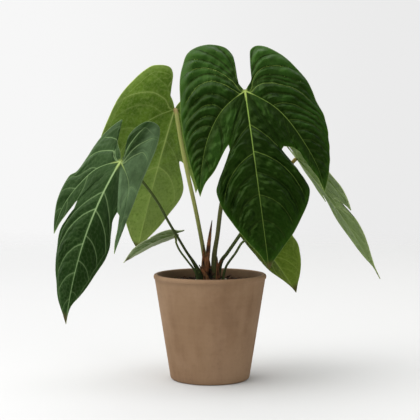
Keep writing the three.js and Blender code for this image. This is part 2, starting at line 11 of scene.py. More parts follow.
import bpy
import numpy as np
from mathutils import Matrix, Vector


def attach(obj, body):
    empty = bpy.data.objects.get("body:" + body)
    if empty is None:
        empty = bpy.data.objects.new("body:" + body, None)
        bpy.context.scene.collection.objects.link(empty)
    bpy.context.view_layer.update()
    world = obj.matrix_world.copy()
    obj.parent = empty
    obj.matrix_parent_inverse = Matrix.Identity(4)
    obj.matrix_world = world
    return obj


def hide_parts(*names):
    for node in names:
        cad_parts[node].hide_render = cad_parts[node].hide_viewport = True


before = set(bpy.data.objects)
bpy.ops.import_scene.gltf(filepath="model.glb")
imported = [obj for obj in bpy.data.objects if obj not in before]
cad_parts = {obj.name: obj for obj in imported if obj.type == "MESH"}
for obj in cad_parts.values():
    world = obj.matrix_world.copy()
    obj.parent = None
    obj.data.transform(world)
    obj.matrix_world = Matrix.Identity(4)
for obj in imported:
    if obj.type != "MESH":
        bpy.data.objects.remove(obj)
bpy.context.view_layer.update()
MM = 0.001
print("nodes:", sorted(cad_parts))

# %% [markdown]
# The camera stands 1.3 m in front of the pot, 14 cm above its rim, and looks down by just under 3 degrees.
# A wide lens from close by would swell the front leaf. A long lens gives the calm, flat perspective of a
# plant portrait.

# %% Camera
CAMERA_PLACE = (0.0, -1.300, 0.274)
CAMERA_PITCH = math.radians(2.86)
LENS = 90.1
SENSOR_WIDTH = 36
lens = bpy.data.cameras.new("plant_camera")
lens.lens = LENS
lens.sensor_width = SENSOR_WIDTH
camera = bpy.data.objects.new("plant_camera", lens)
camera.location = CAMERA_PLACE
camera.rotation_euler = (math.pi / 2 - CAMERA_PITCH, 0, 0)
bpy.context.scene.collection.objects.link(camera)
bpy.context.scene.camera = camera
print("camera at", CAMERA_PLACE, "with a lens of", LENS, "mm")

# %% [markdown]
# All pieces use the same few shape tools: a soft step and a smooth curve through chosen points. Both could
# be left to Blender's curves, but as formulas they work on whole numpy arrays, so a leaf of many thousand
# points takes a blink.

# %% Soft step and smooth curve
def smooth(low, high, x):
    """A soft step: 0 below low, 1 above high, and 3t^2 - 2t^3 of the share t between them."""
    t = np.clip((x - low) / (high - low), 0, 1)
    return t * t * (3 - 2 * t)


def spline(stations, rows, at):
    """A cubic through each pair of rows. A row's slope is the mean of the two rises beside it, each weighted
    by the length of the other; an end's slope is 1.5 rises less half its neighbour's slope."""
    x = np.asarray(stations, float)
    y = np.asarray(rows, float)
    step = np.diff(x)[:, None]
    rise = np.diff(y, axis=0) / step
    slope = np.repeat(rise[:1], len(x), axis=0)
    if len(x) > 2:
        slope[1:-1] = (rise[:-1] * step[1:] + rise[1:] * step[:-1]) / (step[:-1] + step[1:])
        slope[0] = 1.5 * rise[0] - 0.5 * slope[1]
        slope[-1] = 1.5 * rise[-1] - 0.5 * slope[-2]
    i = np.clip(np.searchsorted(x, at, side="right") - 1, 0, len(x) - 2)
    h = step[i]
    t = ((at - x[i]) / h[:, 0])[:, None]
    start = (2 * t**3 - 3 * t**2 + 1) * y[i] + (t**3 - 2 * t**2 + t) * h * slope[i]
    return start + (3 * t**2 - 2 * t**3) * y[i + 1] + (t**3 - t**2) * h * slope[i + 1]


def running_length(points):
    """The length walked along a row of points, from zero."""
    steps = np.linalg.norm(np.diff(points, axis=0), axis=1)
    return np.concatenate([[0], np.cumsum(steps)])


print("a soft step from 0 to 1, at its quarters:", smooth(0, 1, np.linspace(0, 1, 5)))

# %% [markdown]
# A surface here is a grid of points, row by row, and its faces are the squares between them. Where the grid
# closes on itself, as round a pot or a stalk, the last column meets the first. Every piece rides the pot's
# body and takes the place of one packed node. What the finish has to know about a point, such as how far the
# next vein is, is kept on the mesh under a name.

# %% Grids and pieces
def grid_quads(rows, columns, first=0, wrap=False):
    """Corner numbers of a grid's faces, row by row. With wrap, the last column meets the first."""
    i = np.arange(rows - 1)[:, None]
    j = np.arange(columns if wrap else columns - 1)[None, :]
    after = (j + 1) % columns
    corners = [i * columns + j, (i + 1) * columns + j, (i + 1) * columns + after, i * columns + after]
    whole_rows = [np.broadcast_to(c, (rows - 1, j.size)) for c in corners]
    return first + np.stack(whole_rows, -1).reshape(-1, 4)


def revolved(radius, height, sides):
    """A profile carried round the upright axis: (r cos a, r sin a, height) at even angles a."""
    around = np.linspace(0, 2 * np.pi, sides, endpoint=False)
    flat = [np.outer(radius, np.cos(around)), np.outer(radius, np.sin(around))]
    return np.stack([*flat, np.outer(height, np.ones(sides))], -1)


def add_object(name, points, faces):
    """An object from points in metres and lists of faces, linked to the scene."""
    mesh = bpy.data.meshes.new(name)
    mesh.from_pydata(np.asarray(points).reshape(-1, 3).tolist(), [], faces)
    made = bpy.data.objects.new(name, mesh)
    bpy.context.scene.collection.objects.link(made)
    return made


def add_piece(name, points, faces, node):
    """A smooth piece from points in millimetres. It rides the pot's body and stands for its node."""
    piece = add_object(name, np.asarray(points) * MM, faces)
    piece.data.polygons.foreach_set("use_smooth", np.ones(len(piece.data.polygons), bool))
    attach(piece, "root")
    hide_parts(node)
    return piece


def give_numbers(piece, name, values):
    """Three numbers at each point, or at each face corner, for the finish to read by name."""
    values = np.asarray(values, float)
    place = "POINT" if len(values) == len(piece.data.vertices) else "CORNER"
    piece.data.attributes.new(name, "FLOAT_VECTOR", place).data.foreach_set("vector", values.ravel())


print("faces of a grid of 3 by 3 points:", grid_quads(3, 3).tolist())

# %% [markdown]
# Colours are written the way a paint card gives them, and turned to the linear values that the renderer
# works in. Blender's own colour fields do the same turn when a card's number is typed into them.

# %% Paint cards
def paint(card):
    """A colour from a card such as #8a6f58: each share c becomes ((c + 0.055) / 1.055)^2.4, or c / 12.92
    where it is dark."""
    shares = [int(card[i : i + 2], 16) / 255 for i in (1, 3, 5)]
    return (*[c / 12.92 if c <= 0.04045 else ((c + 0.055) / 1.055) ** 2.4 for c in shares], 1.0)


print("the card #808080 in linear values:", [round(c, 3) for c in paint("#808080")])

# %% [markdown]
# A finish is a small tree of shader nodes. Writing one out node by node is long, so a helper holds the
# tree and has one short method for each kind of node. Each method gives back the socket that the next one
# reads. A step turns a measure into a mask, and a tint lays a colour over another where the mask is 1.

# %% Finish helper
class Finish:
    """A material under construction, with the main surface shader ready."""

    def __init__(self, name, roughness=0.5, specular=0.5):
        self.material = bpy.data.materials.new(name)
        self.material.use_nodes = True
        self.nodes = self.material.node_tree.nodes
        self.links = self.material.node_tree.links
        self.surface = self.nodes["Principled BSDF"]
        self.set("Roughness", roughness)
        self.set("Specular IOR Level", specular)

    def put(self, socket, value):
        """Links a socket to an output, or sets it to a plain value."""
        if isinstance(value, bpy.types.NodeSocket):
            self.links.new(value, socket)
        else:
            socket.default_value = value

    def set(self, name, value):
        """Sets or links one input of the main surface shader."""
        self.put(self.surface.inputs[name], value)

    def add(self, kind, *values, out=0, **settings):
        """Adds a node, fills its inputs in order and gives back one output."""
        node = self.nodes.new(kind)
        for key, value in settings.items():
            setattr(node, key, value)
        for socket, value in zip(node.inputs, values):
            if value is not None:
                self.put(socket, value)
        return node.outputs[out]

    def sum(self, operation, a, b=0.0, c=0.0):
        """One arithmetic operation on up to three values."""
        return self.add("ShaderNodeMath", a, b, c, operation=operation)

    def times(self, a, b):
        """The product of two values, such as a mask and a share."""
        return self.sum("MULTIPLY", a, b)

    def step(self, value, low, high, start=0.0, end=1.0):
        """A soft step of value from start at low to end at high."""
        limits = (low, high, start, end)
        return self.add("ShaderNodeMapRange", value, *limits, interpolation_type="SMOOTHSTEP")

    def fade(self, value, low, high):
        """1 below low, softly down to 0 above high."""
        return self.step(value, low, high, 1.0, 0.0)

    def mix(self, share, a, b):
        """Colour a where the share is 0 and b where it is 1. The node has sockets for several kinds of
        value under the same names, so those for colours are found by their identifiers."""
        node = self.nodes.new("ShaderNodeMix")
        node.data_type = "RGBA"
        for key, value in (("Factor_Float", share), ("A_Color", a), ("B_Color", b)):
            self.put(next(s for s in node.inputs if s.identifier == key), value)
        return next(s for s in node.outputs if s.identifier == "Result_Color")

    def tint(self, colour, card, mask, share=1):
        """The colour with a card's colour over it, by the share where the mask is 1."""
        if share == 0:
            return colour
        return self.mix(mask if share == 1 else self.times(mask, share), colour, paint(card))

    def place(self):
        """The place of a point on its own object, in metres."""
        return self.add("ShaderNodeTexCoord", out="Object")

    def split(self, vector):
        """The three numbers of a vector."""
        return self.add("ShaderNodeSeparateXYZ", vector).node.outputs

    def numbers(self, name):
        """The vector that a mesh holds under a name, and its three numbers."""
        vector = self.add("ShaderNodeAttribute", out="Vector", attribute_name=name)
        return (vector, *self.split(vector))

    def scaled(self, vector, factors):
        """A vector with each number times its own factor, to stretch or flatten a pattern."""
        return self.add("ShaderNodeVectorMath", vector, factors, operation="MULTIPLY")

    def length(self, vector):
        """The distance of a point from the middle."""
        return self.add("ShaderNodeVectorMath", vector, out="Value", operation="LENGTH")

    def noise(self, vector, scale, detail=3.0, roughness=0.5):
        """Soft random clouds from 0 to 1, mostly near 0.5."""
        return self.add("ShaderNodeTexNoise", vector, None, scale, detail, roughness)

    def bump(self, height, distance, strength):
        """Low relief: the height's unit is worth the given distance in metres."""
        node = self.nodes.new("ShaderNodeBump")
        for key, value in (("Strength", strength), ("Distance", distance), ("Height", height)):
            self.put(node.inputs[key], value)
        self.links.new(node.outputs[0], self.surface.inputs["Normal"])


print("kinds of finish nodes:", [name for name in vars(Finish) if not name.startswith("_")])

# %% [markdown]
# The picture has a plain near-white sweep, a little brighter on the left, where the big soft light stands.
# The floor could be an endless plane, but its horizon would show in low views. It is a matt disc that fades
# out far from the pot instead.

# %% Floor
FLOOR_RADIUS = 3.0
FLOOR_CLEAR = 0.95
FLOOR_FADED = 0.97 * FLOOR_RADIUS
FLOOR_RINGS = 60
FLOOR_TURNS = 96
FLOOR_DROP = 0.0002
FLOOR_LEFT = (0.607, 0.607, 0.607, 1)
# FLOOR_RIGHT is a little darker and warmer: painted shade away from the key light.
FLOOR_RIGHT = (0.596, 0.596, 0.588, 1)
disc = revolved(np.linspace(0.001, FLOOR_RADIUS, FLOOR_RINGS), np.zeros(FLOOR_RINGS), FLOOR_TURNS)
floor = add_object("floor", disc, grid_quads(FLOOR_RINGS, FLOOR_TURNS, wrap=True)[:, ::-1].tolist())
floor.location.z = -FLOOR_DROP

sweep = Finish("pale_sweep", roughness=1.0, specular=0.0)
spot = sweep.place()
sweep.set("Base Color", sweep.mix(sweep.step(sweep.split(spot)[0], -1.0, 1.0), FLOOR_LEFT, FLOOR_RIGHT))
sweep.set("Alpha", sweep.fade(sweep.length(spot), FLOOR_CLEAR, FLOOR_FADED))
floor.data.materials.append(sweep.material)
print("floor faces:", len(floor.data.polygons))

# %% [markdown]
# The world has two jobs. The eye sees a pale backdrop, painted brighter on the left as painted light from
# the key's side. The glossy leaves mirror a darker room, bright above and to the left and dim behind the
# camera, because a white room would wash out their deep green. Both are levels that change softly with the
# direction of a ray.

# %% World
BACKDROP_LEFT = 0.93
BACKDROP_RIGHT = 0.83
BACKDROP_EDGE = 0.19
ROOM_LIGHT = (-0.38, 0.30, 0.875)
ROOM_SPREAD = (0.1, 0.98)
ROOM_DIM = 0.16
ROOM_BRIGHT = 2.08
world = bpy.data.worlds.new("studio")
bpy.context.scene.world = world
world.use_nodes = True
sky = world.node_tree
heading = sky.nodes.new("ShaderNodeTexCoord").outputs["Generated"]


def sky_level(direction, low, high, start, end):
    """Light from start to end, as the lean of a ray towards a direction goes from low to high."""
    lean = sky.nodes.new("ShaderNodeVectorMath")
    lean.operation = "DOT_PRODUCT"
    lean.inputs[1].default_value = direction
    sky.links.new(heading, lean.inputs[0])
    level = sky.nodes.new("ShaderNodeMapRange")
    level.interpolation_type = "SMOOTHSTEP"
    sky.links.new(lean.outputs["Value"], level.inputs[0])
    for socket, value in zip(level.inputs[1:5], (low, high, start, end)):
        socket.default_value = value
    return level.outputs[0]


room = sky_level(ROOM_LIGHT, *ROOM_SPREAD, ROOM_DIM, ROOM_BRIGHT)
# Painted light: the backdrop seen by the camera is brighter on the left.
backdrop = sky_level((1, 0, 0), -BACKDROP_EDGE, BACKDROP_EDGE, BACKDROP_LEFT, BACKDROP_RIGHT)
seen = sky.nodes.new("ShaderNodeLightPath").outputs["Is Camera Ray"]
chosen = sky.nodes.new("ShaderNodeMix")
background = sky.nodes["Background"]
for socket, level in (("Factor", seen), ("A", room), ("B", backdrop)):
    sky.links.new(level, chosen.inputs[socket])
sky.links.new(chosen.outputs[0], background.inputs["Strength"])
background.inputs["Color"].default_value = (1, 1, 1, 1)
print("world nodes:", len(sky.nodes))

# %% [markdown]
# Two square soft boxes look at the leaves: a large key light from the upper left, which gives the shadows
# their soft edge, and a weaker fill from the right, which lifts them.

# %% Lights
LIGHT_TARGET = (0, 0, 0.2)
KEY_PLACE = (-1.5, -0.85, 1.8)
KEY_SIZE = 2.2
KEY_WATTS = 30
FILL_PLACE = (1.5, -1.6, 0.9)
FILL_SIZE = 1.6
FILL_WATTS = 12


def soft_light(name, place, size, watts):
    """A square soft box that looks from its place to the leaves."""
    lamp = bpy.data.lights.new(name, "AREA")
    lamp.size = size
    lamp.energy = watts
    box = bpy.data.objects.new(name, lamp)
    box.location = place
    box.rotation_euler = (Vector(LIGHT_TARGET) - Vector(place)).to_track_quat("-Z", "Y").to_euler()
    bpy.context.scene.collection.objects.link(box)


soft_light("key", KEY_PLACE, KEY_SIZE, KEY_WATTS)
soft_light("fill", FILL_PLACE, FILL_SIZE, FILL_WATTS)
bpy.context.scene.view_settings.view_transform = "Standard"

# %% [markdown]
# A leaf of this plant has a long middle lobe, a pointed lobe to each side and two round lobes behind the
# stalk. Its place in space is given first. The junction says where the stalk meets the blade, the tip where
# it hangs and the facing which way the upper side looks. The bends say how the midrib droops, how the rear
# lobes rise, how each half folds and curls, and the last values how high its quilting and its waved margin
# stand. The outlines of its halves are named under plus and minus, by their side of the midrib.

# %% Leaf measurements
LEAVES = {
    "front": {
        "junction": (41.6, -45, 353), "tip": (68, -100, 143.5), "facing": (-0.03, -0.93, 0.35),
        "droop": 0.3, "back": 0.25, "fold": (0.1, 0.1), "curl": (-0.3, -0.3), "sweep": 0, "turn": (0, 0),
        "quilt": 3.6, "wave": 0.6, "plus": "front_left_half", "minus": "front_right_half",
    },
    "back_left": {
        "junction": (-44.6, 25, 334.8), "tip": (-95, 72, 152.5), "facing": (-0.25, 0.9, 0.4),
        "droop": 0.25, "back": 0.3, "fold": (0.05, 0.35), "curl": (-0.35, -0.2), "sweep": 0,
        "turn": (0, 0), "quilt": 1.4, "wave": 0.5, "plus": "back_left_hidden_half",
        "minus": "back_left_open_half",
    },
    "left": {
        "junction": (-105.5, -60, 269), "tip": (-165, -105, 82.5), "facing": (-0.12, -0.9, 0.42),
        "droop": 0.3, "back": 0.25, "fold": (-0.6, -0.1), "curl": (-0.5, -0.25), "sweep": -0.18,
        "turn": (0, 0), "quilt": 1.6, "wave": 0.6, "plus": "left_open_half", "minus": "left_folded_half",
    },
    "right": {
        "junction": (109.5, 25, 273.4), "tip": (220, 50, 117), "facing": (0.8, 0.24, 0.54), "droop": 0.24,
        "back": 0.3, "fold": (0.31, 0.07), "curl": (-0.1, -0.15), "sweep": 0, "turn": (-0.36, 0),
        "quilt": 0.6, "wave": 0.25, "plus": "right_near_half", "minus": "right_far_half",
    },
    "low_right": {
        "junction": (53.6, 8, 177.4), "tip": (110, 30, 102), "facing": (0.25, 0.85, 0.45), "droop": 0.5,
        "back": 0.3, "fold": (0.35, 0.05), "curl": (-0.1, -0.2), "sweep": 0, "turn": (0, 0), "quilt": 0.4,
        "wave": 0.12, "plus": "low_right_wide_half", "minus": "low_right_narrow_half",
    },
    "small": {
        "junction": (-44.3, 12, 178), "tip": (-108, 4, 143), "facing": (-0.42, 0.36, 0.8), "droop": 0.5,
        "back": 0.2, "fold": (0.1, 0.1), "curl": (-0.1, -0.2), "sweep": 0, "turn": (0, 0), "quilt": 0.3,
        "wave": 0.12, "plus": "small_near_half", "minus": "small_far_half",
    },
}
print("leaves:", list(LEAVES))

# %% [markdown]
# Each half is measured flat, in millimetres: u across from the midrib, v from the stalk towards the tip.
# A half holds its lateral vein, the notch between the lobes and three stretches of margin: the centre lobe
# outwards of the notch, the inner edge of the side lobe, and the outer edge from the stalk round the rear
# lobe. A margin row is the share of the vein where its side vein leaves, then u and v. The points follow the
# photographed outlines, opened out flat; where a half is hidden it follows its open neighbour.

# %% Outlines of the front leaf
HALVES = {
    "front_left_half": {
        "vein": [(31, 23), (49, 50), (63, 90), (69, 123)],
        "notch": (28, 66),
        "centre": [
            (0.02, 27.5, 72), (0.1, 33, 88), (0.2, 42, 105), (0.29, 49, 118), (0.38, 47, 133),
            (0.6, 35, 160), (0.8, 19.5, 185), (0.92, 6.8, 203),
        ],
        "inner": [(0.18, 33, 72), (0.4, 41, 84), (0.62, 49, 96), (0.84, 62, 110)],
        "outer": [
            (0.025, 8, -15), (0.05, 8.5, -35), (0.075, 8, -47), (0.1, 14, -59), (0.14, 29, -68),
            (0.19, 47, -69.5), (0.25, 63, -62), (0.31, 72, -45), (0.44, 79, -4), (0.64, 80.5, 46),
            (0.84, 75, 91),
        ],
    },
    "front_right_half": {
        "vein": [(36, 30), (59, 69), (75, 114), (77, 135)],
        "notch": (36, 76),
        "centre": [
            (0.015, 33, 80), (0.06, 35, 89), (0.16, 46, 108), (0.27, 58, 124), (0.33, 59.5, 131),
            (0.4, 57, 141), (0.55, 46, 161), (0.72, 32, 181), (0.86, 16.5, 198), (0.955, 3.8, 212.5),
        ],
        "inner": [(0.1, 44, 78), (0.3, 56, 87), (0.6, 64, 105), (0.84, 72, 120)],
        "outer": [
            (0.02, 4, -5), (0.04, 9.5, -14), (0.06, 13, -33), (0.085, 12.5, -51), (0.11, 18, -58),
            (0.145, 28, -58.5), (0.2, 47, -46), (0.27, 67, -23), (0.33, 76, -9), (0.43, 83.5, 17),
            (0.56, 92, 44), (0.71, 92, 78), (0.88, 86, 112),
        ],
    },
}
print("leaf halves:", list(HALVES))

# %% [markdown]
# The back left leaf is seen from below with its right half behind the front leaf, so that half
# follows its open one. The left leaf's folded half is narrower and its rear lobe crosses the midrib.

# %% Outlines of the back left and the left leaf
HALVES |= {
    "back_left_open_half": {
        "vein": [(30, 22), (50, 52), (62, 88), (67, 112)],
        "notch": (29, 68),
        "centre": [
            (0.05, 29, 78), (0.15, 34, 94), (0.28, 41, 108), (0.4, 40, 128), (0.6, 30, 150),
            (0.8, 19, 170), (0.92, 10, 184),
        ],
        "inner": [(0.2, 34, 70), (0.5, 46, 82), (0.8, 59, 100)],
        "outer": [
            (0.025, 5, -10), (0.05, 16, -25), (0.08, 14, -40), (0.11, 20, -52), (0.16, 42, -53),
            (0.21, 54, -45), (0.27, 66, -30), (0.36, 78, -9), (0.48, 85, 19), (0.66, 90, 50),
            (0.85, 80, 88),
        ],
    },
    "back_left_hidden_half": {
        "vein": [(29, 22), (48, 54), (61, 88), (67, 111)],
        "notch": (30, 71),
        "centre": [
            (0.04, 32, 76), (0.14, 39, 92), (0.28, 47, 106), (0.38, 47, 118), (0.58, 35, 145),
            (0.8, 19, 170), (0.92, 9, 183),
        ],
        "inner": [(0.2, 34, 71), (0.5, 45, 80), (0.8, 58, 96)],
        "outer": [
            (0.025, 5, -10), (0.05, 16, -25), (0.08, 14, -40), (0.11, 20, -52), (0.16, 42, -53),
            (0.21, 54, -45), (0.27, 62, -30), (0.36, 66, -9), (0.48, 69, 19), (0.66, 70, 50),
            (0.85, 70, 85),
        ],
    },
    "left_open_half": {
        "vein": [(22, 18), (35, 45), (44, 80), (43.5, 111.5)],
        "notch": (28, 64),
        "centre": [
            (0.03, 28, 80), (0.12, 34, 95), (0.24, 36, 110), (0.34, 33, 126), (0.5, 28, 145),
            (0.65, 23, 160), (0.8, 16, 176), (0.9, 7, 189),
        ],
        "inner": [(0.35, 33, 75), (0.62, 37, 88), (0.86, 41, 102)],
        "outer": [
            (0.025, 6, -10), (0.05, 16, -20), (0.08, 27, -38), (0.11, 29, -51), (0.14, 35, -42),
            (0.19, 41, -26), (0.28, 44, -8), (0.38, 44, 11), (0.5, 47, 32), (0.58, 54, 39), (0.7, 57, 55),
            (0.86, 53, 87),
        ],
    },
    "left_folded_half": {
        "vein": [(23, 17), (34, 43), (39.5, 74), (43, 100)],
        "notch": (26, 54),
        "centre": [
            (0.03, 25, 62), (0.12, 28, 77), (0.26, 34, 96), (0.36, 34, 106), (0.52, 29, 123),
            (0.68, 22, 142), (0.83, 12, 163), (0.92, 2.6, 180),
        ],
        "inner": [(0.25, 32, 58), (0.6, 36, 72), (0.85, 38, 86)],
        "outer": [
            (0.03, -1, -14), (0.06, -8, -30), (0.09, -8, -42), (0.13, -2, -57), (0.17, 6, -64),
            (0.22, 16, -66), (0.28, 22, -61), (0.36, 28, -46), (0.46, 33, -24), (0.58, 37, 2),
            (0.72, 40.5, 28), (0.88, 43.5, 62),
        ],
    },
}
print("leaf halves:", list(HALVES))

# %% [markdown]
# The right leaf is seen nearly edge-on: one margin and the notch are read from the photograph, and its
# long thin tip carries a few more points.

# %% Outlines of the right leaf
HALVES |= {
    "right_near_half": {
        "vein": [(24, 18), (41, 42), (45, 68), (40, 87)],
        "notch": (11.5, 69),
        "centre": [
            (0.03, 8.5, 76), (0.07, 9.5, 84), (0.12, 18, 88.2), (0.18, 28, 92.5), (0.25, 35, 98.5),
            (0.34, 35.5, 110), (0.42, 32, 121), (0.54, 24, 135), (0.68, 15, 152), (0.8, 7.5, 166),
            (0.88, 2.4, 176), (0.94, 1.3, 186),
        ],
        "inner": [(0.3, 20, 71), (0.6, 28, 75.5), (0.85, 36, 82)],
        "outer": [
            (0.03, 5, -12), (0.06, 8, -26), (0.1, 14, -38), (0.15, 27, -41), (0.21, 42, -33),
            (0.28, 53, -14), (0.4, 62, 8), (0.54, 68, 28), (0.7, 69, 46), (0.86, 58, 68),
        ],
    },
    "right_far_half": {
        "vein": [(20, 20), (32, 42), (37, 60), (38, 77)],
        "notch": (27, 67),
        "centre": [
            (0.05, 29, 74), (0.18, 34, 87), (0.32, 36, 101), (0.48, 32.5, 120), (0.64, 24, 140),
            (0.8, 11, 164), (0.88, 2.4, 176), (0.94, 1.3, 186),
        ],
        "inner": [(0.3, 30, 66.5), (0.6, 33.5, 68.5), (0.85, 36.5, 73)],
        "outer": [
            (0.03, 5, -12), (0.06, 8, -26), (0.1, 13, -36), (0.15, 21, -37), (0.21, 29, -30),
            (0.28, 35, -16), (0.4, 40, 6), (0.54, 43, 24), (0.72, 44, 43), (0.88, 42, 62),
        ],
    },
}
print("leaf halves:", list(HALVES))

# %% [markdown]
# The two young leaves have shallow lobes, so fewer points do. What is hidden follows the other side.

# %% Outlines of the low right and the small leaf
HALVES |= {
    "low_right_wide_half": {
        "vein": [(14, 8), (28, 17), (42, 28)],
        "notch": (36, 51),
        "centre": [(0.1, 32.5, 58), (0.25, 28, 65.4), (0.42, 22, 73.5), (0.6, 15.3, 81), (0.8, 8, 88.3)],
        "inner": [(0.35, 39.5, 44), (0.7, 41.5, 37)],
        "outer": [
            (0.04, 2, -5), (0.08, 5, -13), (0.13, 11, -19), (0.2, 19, -18), (0.28, 28, -12),
            (0.38, 35, -4), (0.52, 41, 6), (0.72, 43.5, 17),
        ],
    },
    "low_right_narrow_half": {
        "vein": [(9, 9), (16, 20), (22, 33)],
        "notch": (22, 43),
        "centre": [(0.1, 21.5, 50), (0.25, 19, 59), (0.42, 13.5, 68.5), (0.6, 8, 77.5), (0.8, 3, 86.5)],
        "inner": [(0.35, 22.3, 41), (0.7, 22.6, 37)],
        "outer": [
            (0.04, 2, -5), (0.08, 5, -10), (0.13, 9, -13), (0.2, 14, -11), (0.28, 18, -6), (0.38, 20, 0),
            (0.52, 21.5, 10), (0.72, 22.5, 22),
        ],
    },
    "small_near_half": {
        "vein": [(7, 7), (12, 17), (17, 29)],
        "notch": (15.5, 31),
        "centre": [
            (0.1, 16, 37), (0.25, 15, 44), (0.42, 13, 51), (0.6, 10, 58), (0.8, 5, 66), (0.92, 1.2, 71),
        ],
        "inner": [(0.35, 16, 30.4), (0.7, 16.5, 29.6)],
        "outer": [
            (0.04, 1, -2), (0.08, 3, -3.5), (0.13, 6, -4.5), (0.2, 10, -4.5), (0.28, 13.5, -2.5),
            (0.38, 16.5, 2), (0.52, 18.5, 9), (0.72, 18.5, 18),
        ],
    },
    "small_far_half": {
        "vein": [(7, 7), (12, 17), (17, 29)],
        "notch": (15.5, 31),
        "centre": [
            (0.1, 16.5, 37), (0.25, 16.5, 44), (0.42, 15.5, 51), (0.6, 12, 58), (0.8, 6, 66),
            (0.92, 1.4, 71),
        ],
        "inner": [(0.35, 16, 30.4), (0.7, 16.5, 29.6)],
        "outer": [
            (0.04, 1.5, -5), (0.08, 2.5, -11), (0.13, 5, -13.5), (0.18, 6.5, -10), (0.24, 9, -5.5),
            (0.32, 13, -3), (0.42, 17, 2), (0.56, 19.5, 10), (0.76, 19, 19),
        ],
    },
}
print("leaf halves:", list(HALVES))

# %% [markdown]
# A growing blade isn't flat: it hangs in an arc along its midrib, its halves fold up or down and curl at the
# margin. The flat sheet could be bent with Blender's modifiers, but arcs worked out by formula keep lengths
# true. The result is turned so that its tip is where the photographed tip hangs. The crease at the midrib is
# rounded over a few millimetres, as a real fold is, and the whole blade is drawn in by about four
# thousandths, so that its finer edge stays inside the packed model.

# %% Bending a flat blade
CREASE = 1.5
CURL_WIDTH = 60
DRAWN_IN = 0.9962


def arc(bend, run):
    """Sine and cosine shares of an arc: sin(bend run) / bend and (1 - cos(bend run)) / bend."""
    bend = np.where(np.abs(bend) < 1e-9, 1e-9, bend)
    return np.sin(bend * run) / bend, (1 - np.cos(bend * run)) / bend


def bent(leaf, length, u, v):
    """Flat (u, v) to a point about the junction: an arc along v, and on it an arc across u, tilted by
    the fold."""
    bend = np.where(v >= 0, leaf["droop"], leaf["back"]) / length
    run, drop = arc(bend, v)
    side = np.where(u >= 0, 1, 0)
    fold = np.array(leaf["fold"])[side] + np.array(leaf["turn"])[side] * v / length
    across, up = arc(np.array(leaf["curl"])[side] / CURL_WIDTH, np.abs(u))
    tilted = np.sqrt(across**2 + CREASE**2) - CREASE
    x = (across * np.cos(fold) - up * np.sin(fold)) * np.where(u >= 0, 1, -1)
    h = tilted * np.sin(fold) + up * np.cos(fold)
    swept = leaf["sweep"] * np.clip(v / length, 0, None) ** 2 * length
    return np.stack([x + swept, run + h * np.sin(bend * v), -drop + h * np.cos(bend * v)], -1)


def axes(first, hint):
    """Three square directions as columns: along first, towards hint, and across both."""
    a = np.asarray(first, float) / np.linalg.norm(first)
    b = np.asarray(hint, float) - np.dot(hint, a) * a
    b = b / np.linalg.norm(b)
    return np.stack([a, b, np.cross(a, b)], 1)


def placed(leaf):
    """The midrib's length, and the functions that carry flat points and their normals into space."""
    junction = np.array(leaf["junction"], float)
    chord = np.array(leaf["tip"], float) - junction
    zero = np.array([0.0])
    length = np.linalg.norm(chord) / np.linalg.norm(bent(leaf, 1, zero, zero + 1))
    turn = axes(chord, leaf["facing"]) @ axes(bent(leaf, length, zero, zero + length)[0], (0, 0, 1)).T

    def at(u, v):
        return DRAWN_IN * bent(leaf, length, u, v) @ turn.T + junction

    def normal(u, v):
        n = np.cross(at(u + 0.5, v) - at(u - 0.5, v), at(u, v + 0.5) - at(u, v - 0.5))
        return n / np.linalg.norm(n, axis=-1, keepdims=True)

    return length, at, normal


print("midribs in mm:", {name: round(placed(leaf)[0]) for name, leaf in LEAVES.items()})

# %% [markdown]
# Each half is three patches: the centre lobe ruled from the midrib, and both sides of the lateral vein.
# In a patch, s runs along the vein and t from the vein out to the margin, so a side vein is a line across t.
# Near the stalk the side veins fan out into the rear lobe, so they start at the junction and end far round
# the margin. Further out they leave the lateral vein one after another.

# %% Ruling a patch
VEIN_BOW = 0.11
BASAL_SHARE = 0.5
LEAD = 0.10


def vein_line(half):
    """The points of a half's lateral vein, from the junction outwards."""
    return np.array([(0, 0), *half["vein"]], float)


def patch_lines(half, length, name, s):
    """For each share s: where the side vein leaves its main vein, and where it meets the margin."""
    vein = vein_line(half)
    shares = running_length(vein)
    if name == "centre":
        source = np.stack([0 * s, s * length], -1)
        last = (0, length)
    else:
        source = spline(shares / shares[-1], vein, s)
        last = half["vein"][-1]
    start = (0, 0, 0) if name == "outer" else (0, *half["notch"])
    rows = np.array([start, *half[name], (1, *last)], float)
    return source, spline(rows[:, 0], rows[:, 1:], s)


def patch_points(source, margin, name, s, t):
    """Flat points of a patch: straight from vein to margin, bowed by VEIN_BOW sin(pi s) 4t(1 - t) of
    the gap."""
    gap = margin - source
    bow = VEIN_BOW * np.sin(np.pi * s)[:, None] * 4 * t * (1 - t) * (-1 if name == "inner" else 1)
    aside = np.stack([gap[:, 1], -gap[:, 0]], -1)
    return source[:, None] + gap[:, None] * t[None, :, None] + bow[..., None] * aside[:, None]


def leaving_share(name, s, t):
    """The share that tells one side vein from the next at (s, t). In the centre lobe veins lean forward by
    a lead of 4 s (1 - s) t^2.5, in the inner one by half of that with t^2. In the outer lobe they fan from
    the junction while s < b t, and beyond it the rest of the vein's length is shared out evenly."""
    s, t = np.broadcast_arrays(s[:, None], t[None, :])
    if name == "centre":
        return s - LEAD * t**2.5 * 4 * s * (1 - s)
    if name == "inner":
        return s - 0.5 * LEAD * t**2 * 4 * s * (1 - s)
    g = np.maximum(t, 1e-6)
    b = BASAL_SHARE
    fanned = s / g
    forward = (s + b * (1 - g) / (1 - b)) / ((1 - g) / (1 - b) + g)
    return np.where(s < b * g, fanned, forward)


print("points of an outer margin:", [len(half["outer"]) for half in HALVES.values()])

# %% [markdown]
# The side veins divide a blade into fields that swell upwards like quilting between its sunken veins.
# Their places are read off the photographed leaves: four to six pairs in the centre lobe and many close ones
# along the lateral lobes. The first number is the share of the main vein where a side vein leaves it, the
# second says how strongly it shows. Leaves seen from below or edge-on share one plain pattern.

